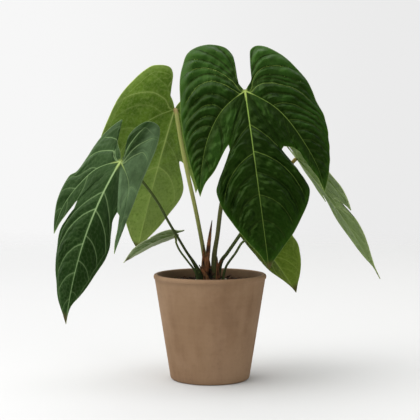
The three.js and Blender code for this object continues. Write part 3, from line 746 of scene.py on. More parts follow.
# %% Side veins
SIDE_VEINS = {
    "front_left": {
        "centre": [(0.2, 0.4), (0.365, 1.2), (0.48, 0.15), (0.59, 0.35), (0.73, 0.2), (0.86, 0.15)],
        "inner": [(0.34, 0.1), (0.68, 0.2)],
        "outer": [
            (0.14, 0.3), (0.22, 0.1), (0.29, 0.1), (0.365, 1.4), (0.44, 0.2), (0.52, 1.4), (0.58, 0.15),
            (0.625, 0.5), (0.67, 0.2), (0.71, 0.35), (0.76, 0.25), (0.8, 0.25), (0.835, 0.2), (0.87, 0.2),
            (0.905, 0.2), (0.945, 0.2),
        ],
    },
    "front_right": {
        "centre": [(0.2, 1.0), (0.355, 1.5), (0.47, 0.2), (0.595, 0.8), (0.73, 0.3), (0.86, 0.15)],
        "inner": [(0.34, 0.1), (0.68, 0.2)],
        "outer": [
            (0.12, 0.2), (0.2, 0.2), (0.28, 1.3), (0.38, 0.2), (0.44, 0.2), (0.51, 1.4), (0.565, 0.15),
            (0.62, 0.6), (0.66, 0.15), (0.7, 0.5), (0.745, 0.15), (0.79, 0.4), (0.83, 0.15), (0.87, 0.3),
            (0.91, 0.15), (0.95, 0.2),
        ],
    },
    "left_open": {
        "centre": [(0.21, 0.7), (0.32, 1.0), (0.54, 0.9), (0.71, 0.7), (0.86, 0.4)],
        "inner": [(0.35, 0.4), (0.65, 0.3)],
        "outer": [(0.22, 0.9), (0.42, 1.1), (0.62, 0.5), (0.76, 0.5), (0.88, 0.35)],
    },
    "left_folded": {
        "centre": [(0.21, 0.7), (0.33, 1.0), (0.49, 0.7), (0.64, 0.7), (0.82, 0.4)],
        "inner": [(0.35, 0.4), (0.65, 0.3)],
        "outer": [(0.18, 0.9), (0.33, 1.1), (0.5, 1.1), (0.68, 0.5), (0.84, 0.35)],
    },
    "plain": {
        "centre": [(0.22, 0.4), (0.41, 1.0), (0.6, 0.5), (0.78, 0.3)],
        "inner": [(0.35, 0.4), (0.65, 0.3)],
        "outer": [(0.22, 0.3), (0.42, 1.1), (0.56, 0.4), (0.7, 0.5), (0.85, 0.35)],
    },
}
print("vein patterns:", list(SIDE_VEINS))

# %% [markdown]
# To find the nearest side vein from anywhere, the veins are counted: a number runs up evenly from vein to
# vein, so its fraction tells how far between two veins a point lies, and how fast it runs tells how much
# room there is between them.

# %% Counting the side veins
LEAST_AREA = 0.02
PITCH_LIMITS = (0.5, 40)


def vein_count(pattern, name, share):
    """A number that is whole on each side vein and even between two, and the strength of the nearest one."""
    table = np.array(SIDE_VEINS[pattern][name])
    stations = np.concatenate([[0], table[:, 0], [1]])
    count = np.interp(share, stations, np.arange(len(stations)))
    strength = np.concatenate([[0], table[:, 1], [0]])
    return count, strength[np.clip(np.rint(count).astype(int), 0, len(strength) - 1)]


def vein_pitch(flat, count):
    """The room from side vein to side vein in millimetres: 1 / |gradient of the vein count|."""
    du_i, du_j = np.gradient(flat[..., 0])
    dv_i, dv_j = np.gradient(flat[..., 1])
    dc_i, dc_j = np.gradient(count)
    area = du_i * dv_j - du_j * dv_i
    area = np.where(np.abs(area) < LEAST_AREA, LEAST_AREA, area)
    slope = np.hypot((dc_i * dv_j - dc_j * dv_i) / area, (dc_j * du_i - dc_i * du_j) / area)
    return np.clip(1 / np.maximum(slope, 1e-3), *PITCH_LIMITS)


veins = {pattern: sum(len(rows) for rows in table.values()) for pattern, table in SIDE_VEINS.items()}
print("side veins in a half:", veins)

# %% [markdown]
# The quilting and the finish both need to know how far each point is from the midrib, from the loop inside
# the margin and from the margin. These distances could be searched point by point, but along a ruled patch
# they follow from the ruling: a share of the gap, times how squarely the ruling meets the line.

# %% Measuring a patch
RIB_TAPER = 0.6
LATERAL_WIDTH = 0.6
LOOP_SHARE = 0.845
LOOP_WAVE = 0.02
LEAST_LEAN = 0.25


def swell_share(name, s):
    """How full the fields stand along a patch: low at the stalk and the tip of the centre lobe, half in the
    inner patch, and easing off near the end of the outer one."""
    if name == "centre":
        return (0.4 + 0.6 * smooth(0.08, 0.24, s)) * (1 - 0.5 * smooth(0.5, 0.95, s))
    if name == "inner":
        return 0.45 + 0 * s
    return 1 - 0.3 * smooth(0.6, 1, s)


def patch_measures(half, length, name, s, t, rib, pattern):
    """Everything the shape and the finish need to know at each point of a patch, as (rows, columns) arrays.
    Distances are in millimetres."""
    source, margin = patch_lines(half, length, name, s)
    flat = patch_points(source, margin, name, s, t)
    gap = margin - source
    span = np.linalg.norm(gap, axis=1)[:, None] + 1e-6

    def lean(track):
        """The sine of the angle at which the ruling meets a row of points."""
        way = np.gradient(track, axis=0)
        cross = way[:, 0] * gap[:, 1] - way[:, 1] * gap[:, 0]
        return (np.abs(cross) / (np.linalg.norm(way, axis=1) * span[:, 0] + 1e-9))[:, None]

    count, strength = vein_count(pattern, name, leaving_share(name, s, t))
    middle = name == "centre"
    taper = (1 - RIB_TAPER * s ** (0.8 if middle else 0.6))[:, None]
    loop = LOOP_SHARE + LOOP_WAVE * np.cos(2 * np.pi * count)
    columns = {
        "count": count,
        "pitch": vein_pitch(flat, count),
        "strength": strength,
        "main": t[None, :] * span * lean(source),
        "main_width": rib * taper * (1 if middle else LATERAL_WIDTH),
        "edge": (1 - t[None, :]) * span * np.maximum(lean(margin), LEAST_LEAN),
        "loop": (t[None, :] - loop) * span,
        "span": span,
        "s": s[:, None],
        "midrib": np.array(1.0 if middle else 0.0),
        "t": t[None, :],
        "swell": swell_share(name, s)[:, None],
    }
    return {"flat": flat, **{key: np.broadcast_to(value, count.shape) for key, value in columns.items()}}


print("fullness along the centre lobe:", swell_share("centre", np.linspace(0, 1, 5)).round(2))

# %% [markdown]
# A finer net divides each field again. Small cells with seeded centres give it: the depth of a point inside
# its cell is half the difference between the distances to its two nearest centres, which is zero along the
# cell walls. The points are taken in blocks, so that the table of distances stays small.

# %% Net of small cells
CELL_BLOCK = 4000


def cell_depth(flat, size, seed):
    """Depth inside small cells, in millimetres: (second nearest centre - nearest centre) / 2."""
    rng = np.random.default_rng(seed)
    low = flat.min(0) - size
    high = flat.max(0) + size
    counts = np.ceil((high - low) / size).astype(int)
    across, along = np.meshgrid(np.arange(counts[0]), np.arange(counts[1]), indexing="ij")
    corners = np.stack([across, along], -1).reshape(-1, 2)
    centres = low + size * (corners + rng.uniform(0.05, 0.95, (across.size, 2)))
    depth = np.empty(len(flat))
    for first in range(0, len(flat), CELL_BLOCK):
        block = flat[first : first + CELL_BLOCK]
        gaps = np.hypot(block[:, None, 0] - centres[:, 0], block[:, None, 1] - centres[:, 1])
        near = np.partition(gaps, 1, axis=1)
        depth[first : first + CELL_BLOCK] = (near[:, 1] - near[:, 0]) / 2
    return depth


print("depth in a 5 mm cell, at three points:", cell_depth(np.eye(3, 2) * 9, 5, 1).round(2))

# %% [markdown]
# A piece is put together like a garment: its grids are cut apart and their shared seams are joined. Blender
# can merge points that lie together, but the numbers kept for the finish differ from patch to patch at a
# seam, so the joining is done here, where both the joined and the loose corners are known. Where two corners
# of a face have met, as at the tip or a pole, the face becomes a triangle.

# %% Joining seams
MEETING = 500


def fitted_faces(quads, whole):
    """Splits faces into whole quads and, where two corners have met, triangles.
    Gives the joined corner numbers and, beside them, the corner numbers of the loose patches."""
    same = quads == np.roll(quads, -1, axis=1)
    full = ~same.any(1)
    pinched = same.sum(1) == 1
    order = (same[pinched].argmax(1)[:, None] + np.array([1, 2, 3])) % 4
    cut, cut_loose = [np.take_along_axis(a[pinched], order, axis=1) for a in (quads, whole)]
    sound = (cut != np.roll(cut, -1, axis=1)).all(1)
    return quads[full], whole[full], cut[sound], cut_loose[sound]


def meeting_points(points):
    """One number for each place in steps of 1 / MEETING mm: which point stands for it, and who joins it."""
    places = np.rint(points * MEETING)
    _, chosen, joined = np.unique(places, axis=0, return_index=True, return_inverse=True)
    return chosen, joined.ravel()


def welded(points, quads):
    """Joins points that lie together. Gives the number of each point that is kept, and the faces: quads,
    and triangles at a pole."""
    chosen, joined = meeting_points(points)
    whole, _, cut, _ = fitted_faces(joined[quads], quads)
    return chosen, whole.tolist() + cut.tolist()


def open_edges(quads, triangles):
    """The edges that only one face has, each in that face's direction."""
    sets = [np.stack([f, np.roll(f, -1, axis=1)], -1).reshape(-1, 2) for f in (quads, triangles)]
    ways = np.concatenate(sets)
    size = ways.max() + 1
    code = ways[:, 0] * size + ways[:, 1]
    back = ways[:, 1] * size + ways[:, 0]
    return ways[~np.isin(code, back)]


print("edges round a grid of 3 by 3 points:", len(open_edges(grid_quads(3, 3), np.empty((0, 3), int))))

# %% [markdown]
# The grids of a blade are finer where it matters: even rows along the midrib, rows that crowd towards the
# junction along a lateral vein, and columns that crowd towards the vein.

# %% Patches of a blade
LATERAL_CROWDING = 1.8
COLUMN_CROWDING = 1.25
COLUMNS = {"centre": 37.5, "inner": 37.5, "outer": 55}
LATERAL_ROWS = 1.15
CALM_ENDS = 0.12


def blade_patches(leaf, length):
    """All six patches of a blade: their measures in one row each, and their grids of faces."""
    measures = []
    quads = []
    first = 0
    sides = (("plus", 1, leaf["patterns"][0]), ("minus", -1, leaf["patterns"][1]))
    for side, sign, pattern in sides:
        half = HALVES[leaf[side]]
        vein_length = running_length(vein_line(half))[-1]
        for name in ("centre", "inner", "outer"):
            rows = int((length if name == "centre" else vein_length * LATERAL_ROWS) / leaf["grain"])
            x = np.linspace(0, 1, rows + 1)
            s = x if name == "centre" else x**LATERAL_CROWDING
            t = np.linspace(0, 1, round(COLUMNS[name] / leaf["grain"]) + 1) ** COLUMN_CROWDING
            patch = patch_measures(half, length, name, s, t, leaf["rib"], pattern)
            patch["flat"] = patch["flat"] * (sign, 1)
            ends = smooth(0, CALM_ENDS, x) * smooth(0, CALM_ENDS, 1 - x)
            patch["ends"] = np.broadcast_to(ends[:, None], patch["t"].shape)
            grid = grid_quads(rows + 1, len(t), first)
            quads.append(grid if (name == "inner") == (sign > 0) else grid[:, ::-1])
            measures.append({key: value.reshape(patch["t"].size, -1) for key, value in patch.items()})
            first += patch["t"].size
    joined = {key: np.concatenate([m[key] for m in measures]) for key in measures[0]}
    return joined, np.concatenate(quads)


print("columns of a patch:", {name: round(count) for name, count in COLUMNS.items()}, "at a grain of 1 mm")

# %% [markdown]
# On the front leaf the fields between the veins stand up like puffed pillows. The rise could be painted as a
# bump, but it shows in the outline and catches the light, so it is real relief: swellings between the veins,
# small lumps and the pillows of the net, with a ripple along the margin.

# %% Quilting
CALM_WIDTH = 3.5
CALM_MARGIN = (0.82, 1)
STEEPEST = 0.33
SPLIT_ROOM = (8, 15)
SPLIT_SHARE = 0.55
UNEVEN_SIZE = 30
SHIFT_SIZE = 16
LUMP_SIZE = 14
LUMP_SHARE = 0.16
PILLOW_SHARE = 0.1


def waves(flat, size, seed):
    """A soft uneven field of about -1 to 1: seven sine waves of about that size, each with its own way."""
    rng = np.random.default_rng(seed)
    way, shift = rng.uniform(0, 2 * np.pi, (2, 7))
    pace = 2 * np.pi * rng.uniform(0.7, 1.5, 7) / size
    phase = pace * (flat[:, :1] * np.cos(way) + flat[:, 1:] * np.sin(way)) + shift
    return np.sin(phase).sum(1, keepdims=True) / 3


def swollen(phase):
    """A row of swellings with rounded valleys between them: sqrt(sin(phase)^2 + 0.04) - 0.2."""
    return np.sqrt(np.sin(phase) ** 2 + 0.04) - 0.2


def blade_lift(leaf, m):
    """How far each point rises: a swelling from vein to vein, split in three where there is room, calm near
    the main veins and the margin, with an uneven height, small pillows, and a ripple that grows with t^2."""
    count, t, pitch, quilt = m["count"], m["t"], m["pitch"], leaf["quilt"]
    calm = (1 - np.exp(-m["main"] / CALM_WIDTH)) * (1 - 0.92 * smooth(*CALM_MARGIN, t))
    uneven = waves(m["flat"], UNEVEN_SIZE, leaf["seed"])
    shift = 0.08 * waves(m["flat"], SHIFT_SIZE, leaf["seed"] + 50)
    height = np.minimum(quilt, STEEPEST * pitch) * (1 + 0.35 * uneven)
    split = SPLIT_SHARE * quilt * smooth(*SPLIT_ROOM, pitch) * swollen(3 * np.pi * (count + shift))
    field = 1.15 * height * swollen(np.pi * count) + split * (1 + 0.3 * uneven)
    lumps = LUMP_SHARE * quilt * waves(m["flat"], LUMP_SIZE, leaf["seed"] + 90)
    pillow = PILLOW_SHARE * quilt * smooth(0, 0.24 * leaf["cell"], m["net"])
    ripple = leaf["wave"] * np.sin(np.pi * count + 0.7) * t**2 * m["ends"]
    rise = calm * np.sqrt(m["ends"]) * (m["swell"] * field + lumps + pillow)
    return (rise + ripple).ravel()


print("height of a swelling, from vein to vein:", swollen(np.pi * np.linspace(0, 1, 5)).round(2))

# %% [markdown]
# The sheet then gets its thickness. Blender's Solidify would do that evenly, but a leaf has raised ribs
# underneath and only faint ones on top, so both sides are placed one by one: the middle sheet pushed out
# along its normals by half the thickness, plus the rib. A strip of wall closes the two sheets round the
# margin.
# The faces of the upper side, the under side and the wall get a finish each.

# %% Building a blade
BLADE_THICKNESS = 0.8
RIB_HEIGHT = 1.1
TOP_RIB_HEIGHT = 0.18
TOP_RIB_WIDTH = 0.8
UPPER_SIDE, UNDER_SIDE, MARGIN = 0, 1, 2


def two_sheets(leaf, m, chosen, at, normal):
    """The joined points of the upper and the under sheet, and the normals between them."""
    u, v = m["flat"][chosen].T
    n = normal(u, v)
    middle = at(u, v) + n * blade_lift(leaf, m)[chosen][:, None]
    main = m["main"][chosen]
    s = m["s"][chosen]
    rib_width = 1.3 * leaf["rib"] * (1.2 - s) + 0.3
    rib = RIB_HEIGHT * (1 - 0.75 * s**0.56) * np.exp(-((main / rib_width) ** 2))
    top_rib = TOP_RIB_HEIGHT * np.exp(-((main / TOP_RIB_WIDTH) ** 2))
    return middle + n * (BLADE_THICKNESS / 2 + top_rib), middle - n * (BLADE_THICKNESS / 2 + rib), n


def keep_measures(piece, m, corner, side_room):
    """Keeps at every face corner what the finish reads, in four sets of three numbers."""
    pick = {key: value[corner] for key, value in m.items()}
    room = pick["pitch"] / (side_room * (1.15 - 0.6 * pick["t"]))
    give_numbers(piece, "sheet", np.column_stack([pick["flat"], pick["net"]]))
    give_numbers(piece, "veins", np.column_stack([pick["main"] / pick["main_width"], pick["count"], room]))
    give_numbers(piece, "rim", np.column_stack([pick["loop"], pick["edge"], pick["strength"]]))
    give_numbers(piece, "shares", np.column_stack([pick["midrib"], pick["t"], pick["span"]]))


def build_blade(name):
    """A closed blade: upper and under sheets from the same flat points, joined round the margin."""
    leaf = LEAVES[name]
    length, at, normal = placed(leaf)
    m, quads = blade_patches(leaf, length)
    m["net"] = cell_depth(m["flat"], leaf["cell"], leaf["seed"])[:, None]
    chosen, joined = meeting_points(m["flat"])
    whole, whole_loose, cut, cut_loose = fitted_faces(joined[quads], quads)
    upper, under, n = two_sheets(leaf, m, chosen, at, normal)
    rim = open_edges(whole, cut)
    start, end = rim.T
    size = len(chosen)
    walls = np.stack([start, start + size, end + size, end], -1)
    faces = [whole, cut, whole[:, ::-1] + size, cut[:, ::-1] + size, walls]
    loose_of = np.empty(size, int)
    loose_of[joined] = np.arange(len(joined))
    wall_loose = loose_of[np.stack([start, start, end, end], -1)]
    loose = [whole_loose, cut_loose, whole_loose[:, ::-1], cut_loose[:, ::-1], wall_loose]
    corner, second, third = whole[0, :3]
    upwards = np.cross(upper[second] - upper[corner], upper[third] - upper[corner])
    if np.dot(upwards, n[corner]) < 0:
        faces = [f[:, ::-1] for f in faces]
        loose = [f[:, ::-1] for f in loose]
    node = f"blade_{name}"
    points = np.concatenate([upper, under])
    piece = add_piece(f"leaf_{name}", points, sum((f.tolist() for f in faces), []), node)
    keep_measures(piece, m, np.concatenate([f.ravel() for f in loose]), leaf["side"])
    sides = (UPPER_SIDE, UPPER_SIDE, UNDER_SIDE, UNDER_SIDE, MARGIN)
    kind = np.concatenate([np.full(len(f), side) for f, side in zip(faces, sides)])
    piece.data.polygons.foreach_set("material_index", kind)
    print(f"leaf_{name}: midrib {length:.0f} mm, {len(kind)} faces")
    return piece


# %% [markdown]
# The seeds, the grain of the grid, the size of the net's cells and the widths of ribs and side veins differ
# from leaf to leaf with its size. Only the two leaves that face the camera have side veins of their own.

# %% Make the six blades
BLADE_DETAIL = {
    "front": {"grain": 1.4, "cell": 5.5, "rib": 0.62, "side": 0.36, "seed": 11},
    "back_left": {"grain": 1.7, "cell": 5.5, "rib": 0.78, "side": 0.7, "seed": 12},
    "left": {"grain": 1.5, "cell": 5.0, "rib": 0.75, "side": 0.6, "seed": 13},
    "right": {"grain": 1.7, "cell": 5.0, "rib": 0.55, "side": 0.45, "seed": 14},
    "low_right": {"grain": 1.5, "cell": 4.5, "rib": 0.5, "side": 0.4, "seed": 15},
    "small": {"grain": 1.2, "cell": 3.5, "rib": 0.45, "side": 0.3, "seed": 16},
}
VEIN_PATTERNS = {"front": ("front_left", "front_right"), "left": ("left_open", "left_folded")}
blades = {}
for name, detail in BLADE_DETAIL.items():
    LEAVES[name].update(detail, patterns=VEIN_PATTERNS.get(name, ("plain", "plain")))
    blades[name] = build_blade(name)

# %% [markdown]
# The finish of a blade is drawn from the distances kept on the mesh. A picture wrapped over the leaf
# would blur near the eye; lines worked out from distances stay crisp however close it comes. The midrib
# and lateral veins are clear, the side veins thinner, with a looped vein inside the margin and a fine net
# between them.

# %% Veins and fields as masks
def line(finish, ratio, soft=0.35):
    """1 on a vein and 0 beside it, from a distance measured in half widths of that vein."""
    return finish.fade(ratio, 1 - soft, 1 + soft)


def vein_masks(finish, half_width):
    """The lines and fields of a blade, each as a share from 0 to 1. The nearest side vein is measured in its
    own half widths, all else in millimetres; reach is the distance from the stalk."""
    sheet, across, along, net = finish.numbers("sheet")
    _, main, count, room = finish.numbers("veins")
    _, loop, edge, strength = finish.numbers("rim")
    _, midrib, t, span = finish.numbers("shares")
    near = finish.times(finish.sum("PINGPONG", count, 0.5), room)
    reach = finish.length(finish.scaled(sheet, (1, 1, 0)))
    clear = finish.times(finish.sum("MULTIPLY_ADD", midrib, 0.4, 0.6), finish.step(reach, 5, 150, 1, 0.4))
    side = finish.times(line(finish, near, 0.7), finish.times(strength, finish.fade(t, 0.8, 0.9)))
    ring = finish.sum("DIVIDE", finish.sum("ABSOLUTE", loop), half_width * 0.8)
    return {
        "sheet": sheet,
        "across": across,
        "along": along,
        "lobe": finish.sum("SUBTRACT", 1.0, midrib),
        "main": finish.times(line(finish, main), clear),
        "halo": finish.fade(main, 0.8, 5),
        # main_side marks a band beside the main veins, where the upper side gets painted shade.
        "main_side": finish.times(finish.fade(main, 8, 32), finish.step(reach, 14, 34)),
        "side": finish.times(side, finish.step(reach, 20, 150, 1, 0.55)),
        "side_halo": finish.times(finish.fade(near, 0.5, 6), strength),
        # between marks the middle of each field, where the upper side gets a painted highlight.
        "between": finish.step(near, 2, 9),
        # valley marks the dip beside each side vein, where the upper side gets painted shade.
        "valley": finish.fade(near, 1, 6),
        "ring": finish.times(line(finish, ring, 0.8), finish.step(span, 6, 16)),
        "net": finish.fade(net, 0.1, 0.75),
        "edge": finish.fade(edge, 0.3, 0.9),
        "margin": finish.fade(edge, 1, 9),
        "heart": finish.fade(reach, 3, 16),
        "core": finish.fade(reach, 1, 4.5),
    }


def layered(finish, green, look, masks, layers):
    """Lays colours of a look over a green. Each layer names its mask, its colour and its share."""
    for mask, colour, share in layers:
        green = finish.tint(green, look[colour], masks[mask], share)
    return green


DRY_TIP = "#4b3d2a"


def drip_tip(finish, masks, length, green):
    """The last centimetre of a blade turns dry and brown."""
    return finish.tint(green, DRY_TIP, finish.step(masks["along"], length - 14, length - 5, 0, 0.85))


print("a dry tip in linear values:", [round(c, 3) for c in paint(DRY_TIP)[:3]])

# %% [markdown]
# The upper side is a dark, waxy green, clouded from place to place. Near the stalk a paler wash lies over
# it, partly a painted highlight on the rear lobes, and a bright patch marks where the stalk joins. The
# swollen fields between the side veins carry a painted highlight. Painted shade darkens their dips along
# the veins on the front leaf, and the green beside the main veins, strongly in the front leaf's inner part
# and a little towards every tip. On the left leaf the folded lobe is painted paler, partly its waxy bloom
# and partly a painted sheen where it turns to the light, with painted shade in the hollow beside the fold.
# The gloss is tinted green, as the waxy skin colours what it mirrors.

# %% Finish of the upper side
GLOSS_TINT = (0.5, 1.0, 0.15, 1.0)
# A pale green for the folded lobe: partly its waxy bloom, partly a painted sheen.
BLOOM_AND_SHEEN = "#7f9c72"
HEART_GREEN = "#c6d878"


def upper_finish(name, length, look):
    """Deep green clouded with mid green and washed with a paler one, partly a painted highlight, then the
    layers: painted highlight on the fields, painted shade in their dips and beside the main veins, and
    veins.
    The wash fades from the rear lobes towards the tip."""
    finish = Finish(name, specular=look["specular"])
    finish.set("Specular Tint", GLOSS_TINT)
    masks = vein_masks(finish, look["ring_width"])
    across, along, lobe = (masks[key] for key in ("across", "along", "lobe"))
    cloud = finish.noise(finish.place(), 24.0, 4.0, 0.6)
    grain = finish.noise(masks["sheet"], 0.9, 2.0, 0.5)
    green = finish.mix(finish.step(cloud, 0.35, 0.68), paint(look["deep"]), paint(look["mid"]))

    # The paler wash near the stalk: partly the leaf's own colour, partly a painted highlight on the rear
    # lobes.
    washed = finish.times(finish.fade(along, -40, look["wash_end"]), look["washed"])
    # The wash is kept out of the painted shade of the dips.
    washed = finish.times(washed, finish.sum("MULTIPLY_ADD", masks["valley"], -look["valley"], 1))
    green = finish.tint(green, look["wash"], finish.times(washed, finish.step(cloud, 0.25, 0.6, 0.4, 1)))
    if look["folded"]:
        # Painted sheen: the folded lobe is painted paler, partly its bloom and partly the light it turns to.
        folded = finish.times(finish.fade(across, -10, -1), lobe)
        folded = finish.times(folded, finish.step(cloud, 0.3, 0.6, 0.5, 1))
        # Painted shade in the hollow beside the fold.
        hollow_shade = finish.times(finish.step(across, -16, -6), finish.fade(across, 9, 13))
        hollow_shade = finish.times(hollow_shade, finish.fade(along, -20, -10))
        green = finish.tint(green, BLOOM_AND_SHEEN, folded, look["folded"])
        green = finish.tint(green, look["deep"], hollow_shade, look["folded"])
    # Painted shade beside the main veins: strong in the inner part of the front leaf, faint towards every
    # tip.
    shade = finish.step(along, 80, 130, look["valley"], 0.1)
    heart = finish.times(masks["heart"], finish.step(masks["halo"], 0.5, 1))

    # ridge: a painted highlight on the fields of the front leaf, in the wash's paler green.
    masks["ridge"] = finish.times(finish.times(masks["between"], finish.step(cloud, 0.45, 0.65)), lobe)
    masks["shade"] = finish.times(masks["main_side"], shade)
    masks["speckle"] = finish.step(grain, 0.4, 0.75)
    green = layered(finish, green, look, masks, [
        # between and ridge lay a painted highlight on the fields.
        ("between", "mid", 0.35),
        ("ridge", "wash", 0.25 * look["valley"]),
        # valley and shade lay painted shade in the dips and beside the main veins.
        ("valley", "deep", look["valley"]),
        ("shade", "deep", 1),
        ("margin", "fresh", 0.25),
        ("side_halo", "fresh", look["halo"]),
        ("halo", "fresh", look["halo"]),
        ("net", "vein", look["net"]),
        ("speckle", "mid", 0.12),
        ("ring", "vein", look["ring"]),
        ("side", "vein", look["side"]),
        ("edge", "vein", 0.3),
        ("main", "vein", look["main"]),
    ])
    green = finish.tint(green, HEART_GREEN, finish.sum("MAXIMUM", heart, masks["core"]), 0.45)
    finish.set("Base Color", drip_tip(finish, masks, length, green))
    finish.set("Roughness", finish.step(grain, 0.2, 0.8, look["roughness"] - 0.05, look["roughness"] + 0.08))
    relief = finish.sum("MULTIPLY_ADD", masks["net"], -0.3, finish.times(grain, 0.5))
    finish.bump(relief, 0.0005, 0.5)
    return finish.material


print("the gloss of the leaves is tinted:", GLOSS_TINT[:3])

# %% [markdown]
# The under side is lighter and duller, a yellow-green or a greyed green, mottled deep and pale, and its
# veins stand out as paler ribs. The cut edge between the two sides is a thin pale line.

# %% Finish of the under side and the margin
def under_finish(name, length, look):
    """Mid green mottled with deep and pale patches, paler towards the tip, with paler ribs and a net.
    Where asked, the near half is painted paler: painted light, with the far half left as painted shade.
    """
    finish = Finish(name, roughness=look["roughness"], specular=0.2)
    finish.set("Specular Tint", GLOSS_TINT)
    masks = vein_masks(finish, look["ring_width"])
    cloud = finish.noise(finish.place(), 34.0, 4.0, 0.62)
    grain = finish.noise(masks["sheet"], 0.3, 4.0, 0.65)
    green = finish.mix(finish.step(cloud, 0.34, 0.66), paint(look["deep"]), paint(look["mid"]))
    masks["towards_tip"] = finish.step(masks["along"], 10, 150)
    masks["pale_patch"] = finish.step(grain, 0.4, 0.72)
    masks["deep_patch"] = finish.fade(grain, 0.3, 0.48)
    # Painted light: where near is set, the near half is painted paler as if lit, the far half left as shade.
    masks["near_half"] = finish.step(masks["across"], -0.5, 2.5)
    green = layered(finish, green, look, masks, [
        ("towards_tip", "pale", look["tip"]),
        ("pale_patch", "pale", 0.4),
        ("deep_patch", "deep", 0.4),
        ("halo", "pale", 0.2),
        ("near_half", "pale", look["near"]),
        ("side_halo", "pale", 0.25),
        ("margin", "pale", 0.3),
        ("net", "pale", look["net"]),
        ("ring", "vein", 0.6 * look["side"]),
        ("side", "vein", look["side"]),
        ("edge", "vein", 0.4),
        ("main", "vein", look["main"]),
    ])
    finish.set("Base Color", drip_tip(finish, masks, length, green))
    relief = finish.sum("MULTIPLY_ADD", masks["side"], 0.8, finish.times(grain, 0.5))
    finish.bump(relief, 0.0005, 0.5)
    return finish.material


def margin_finish(name, look):
    """The cut edge of the blade: a pale green line, a little uneven."""
    finish = Finish(name, roughness=0.5, specular=0.3)
    cloud = finish.noise(finish.place(), 160.0, 2.0)
    green = finish.mix(finish.step(cloud, 0.35, 0.65), paint(look["pale"]), paint(look["vein"]))
    finish.set("Base Color", green)
    return finish.material


print("materials so far:", [material.name for material in bpy.data.materials])

# %% [markdown]
# Each leaf has its own greens and shares, read off the photographed leaf where that side is seen: the
# upper sides of front and left, the under sides of the others. Values that most leaves have in common
# stand first, and a leaf names only what differs. The other sides keep to the same plant's range.

# %% Looks of the upper sides
# valley gives the strength of the painted shade in the dips and beside the main veins.
UPPER_USUAL = {
    "main": 0.85, "side": 0.4, "ring": 0.2, "net": 0.08, "halo": 0.2, "roughness": 0.42, "specular": 0.16,
    "washed": 0.3, "wash_end": 110, "valley": 0, "folded": 0,
}
# wash is a paler green near the stalk, partly a painted highlight on the rear lobes; washed is its share.
UPPER = {
    "front": {
        "deep": "#020e01", "mid": "#081d02", "fresh": "#2d5410", "vein": "#8aa450", "wash": "#40682a",
        "ring_width": 0.36, "main": 0.9, "side": 0.34, "ring": 0, "net": 0.01, "halo": 0.04,
        "roughness": 0.38, "specular": 0.24, "washed": 0.55, "wash_end": 15, "valley": 0.85,
    },
    "back_left": {
        "deep": "#1d3210", "mid": "#274018", "fresh": "#3a5a20", "vein": "#9ab060", "wash": "#33502a",
        "ring_width": 0.6, "net": 0.06,
    },
    "left": {
        "deep": "#0a1a08", "mid": "#142910", "fresh": "#2e4a24", "vein": "#9ab37e", "wash": "#4c6442",
        "ring_width": 0.65, "main": 0.9, "side": 0.5, "ring": 0.12, "net": 0.04, "halo": 0.4,
        "roughness": 0.55, "specular": 0.2, "washed": 0.6, "folded": 0.75,
    },
    "right": {
        "deep": "#233c16", "mid": "#2f4d1e", "fresh": "#446630", "vein": "#9ab068", "wash": "#4c6a3a",
        "ring_width": 0.45, "roughness": 0.45,
    },
    "low_right": {
        "deep": "#22401a", "mid": "#2f5522", "fresh": "#48702c", "vein": "#9ab860", "wash": "#4c6a3a",
        "ring_width": 0.4,
    },
    "small": {
        "deep": "#2a4a20", "mid": "#3a602c", "fresh": "#527838", "vein": "#a0ba6c", "wash": "#5c7a4a",
        "ring_width": 0.3,
    },
}
print("upper looks:", {name: look["mid"] for name, look in UPPER.items()})

# %% [markdown]
# The under sides differ most. The thin old leaf at the back and the low one are yellow-green, partly their
# own colour and partly painted light that shines through them. The right leaf and the young one are
# greyed by their waxy bloom.

# %% Looks of the under sides
UNDER_USUAL = {"main": 0.9, "side": 0.5, "net": 0.1, "tip": 0.2, "roughness": 0.55, "near": 0}
UNDER = {
    "front": {"deep": "#3c5a1c", "mid": "#4e6e24", "pale": "#688636", "vein": "#a8bc68", "ring_width": 0.36},
    "back_left": {
        "deep": "#527020", "mid": "#769635", "pale": "#9cb262", "vein": "#b8ca74", "ring_width": 0.6,
        "net": 0.06, "tip": 0.6,
    },
    "left": {
        "deep": "#44602c", "mid": "#56743a", "pale": "#708c50", "vein": "#a8bc70", "ring_width": 0.6,
        "roughness": 0.6,
    },
    "right": {
        "deep": "#3a5416", "mid": "#5f7836", "pale": "#94a66a", "vein": "#a8b878", "ring_width": 0.45,
        "main": 0.6, "side": 0.3, "net": 0.08, "roughness": 0.6,
    },
    "low_right": {
        "deep": "#3a5010", "mid": "#4d6418", "pale": "#788c3c", "vein": "#8fa550", "ring_width": 0.4,
        "main": 0.7, "side": 0.3, "net": 0.06, "tip": 0.6,
    },
    "small": {
        "deep": "#43601e", "mid": "#5c7834", "pale": "#a0ae84", "vein": "#c0cc9c", "ring_width": 0.3,
        # near: the share of painted light on the near half.
        "side": 0.4, "net": 0.08, "tip": 0.3, "near": 0.6,
    },
}
print("under looks:", {name: look["mid"] for name, look in UNDER.items()})

# %% [markdown]
# Every blade gets three materials. Blender fills the slots of a mesh in order, so the upper side's finish
# comes first, then the under side's and the margin's, as the faces were numbered.

# %% Dress the blades
for name, piece in blades.items():
    length = placed(LEAVES[name])[0]
    upper_look = {**UPPER_USUAL, **UPPER[name]}
    under_look = {**UNDER_USUAL, **UNDER[name]}
    piece.data.materials.append(upper_finish(f"leaf_top_{name}", length, upper_look))
    piece.data.materials.append(under_finish(f"leaf_back_{name}", length, under_look))
    piece.data.materials.append(margin_finish(f"leaf_margin_{name}", under_look))
print("dressed blades:", len(blades))

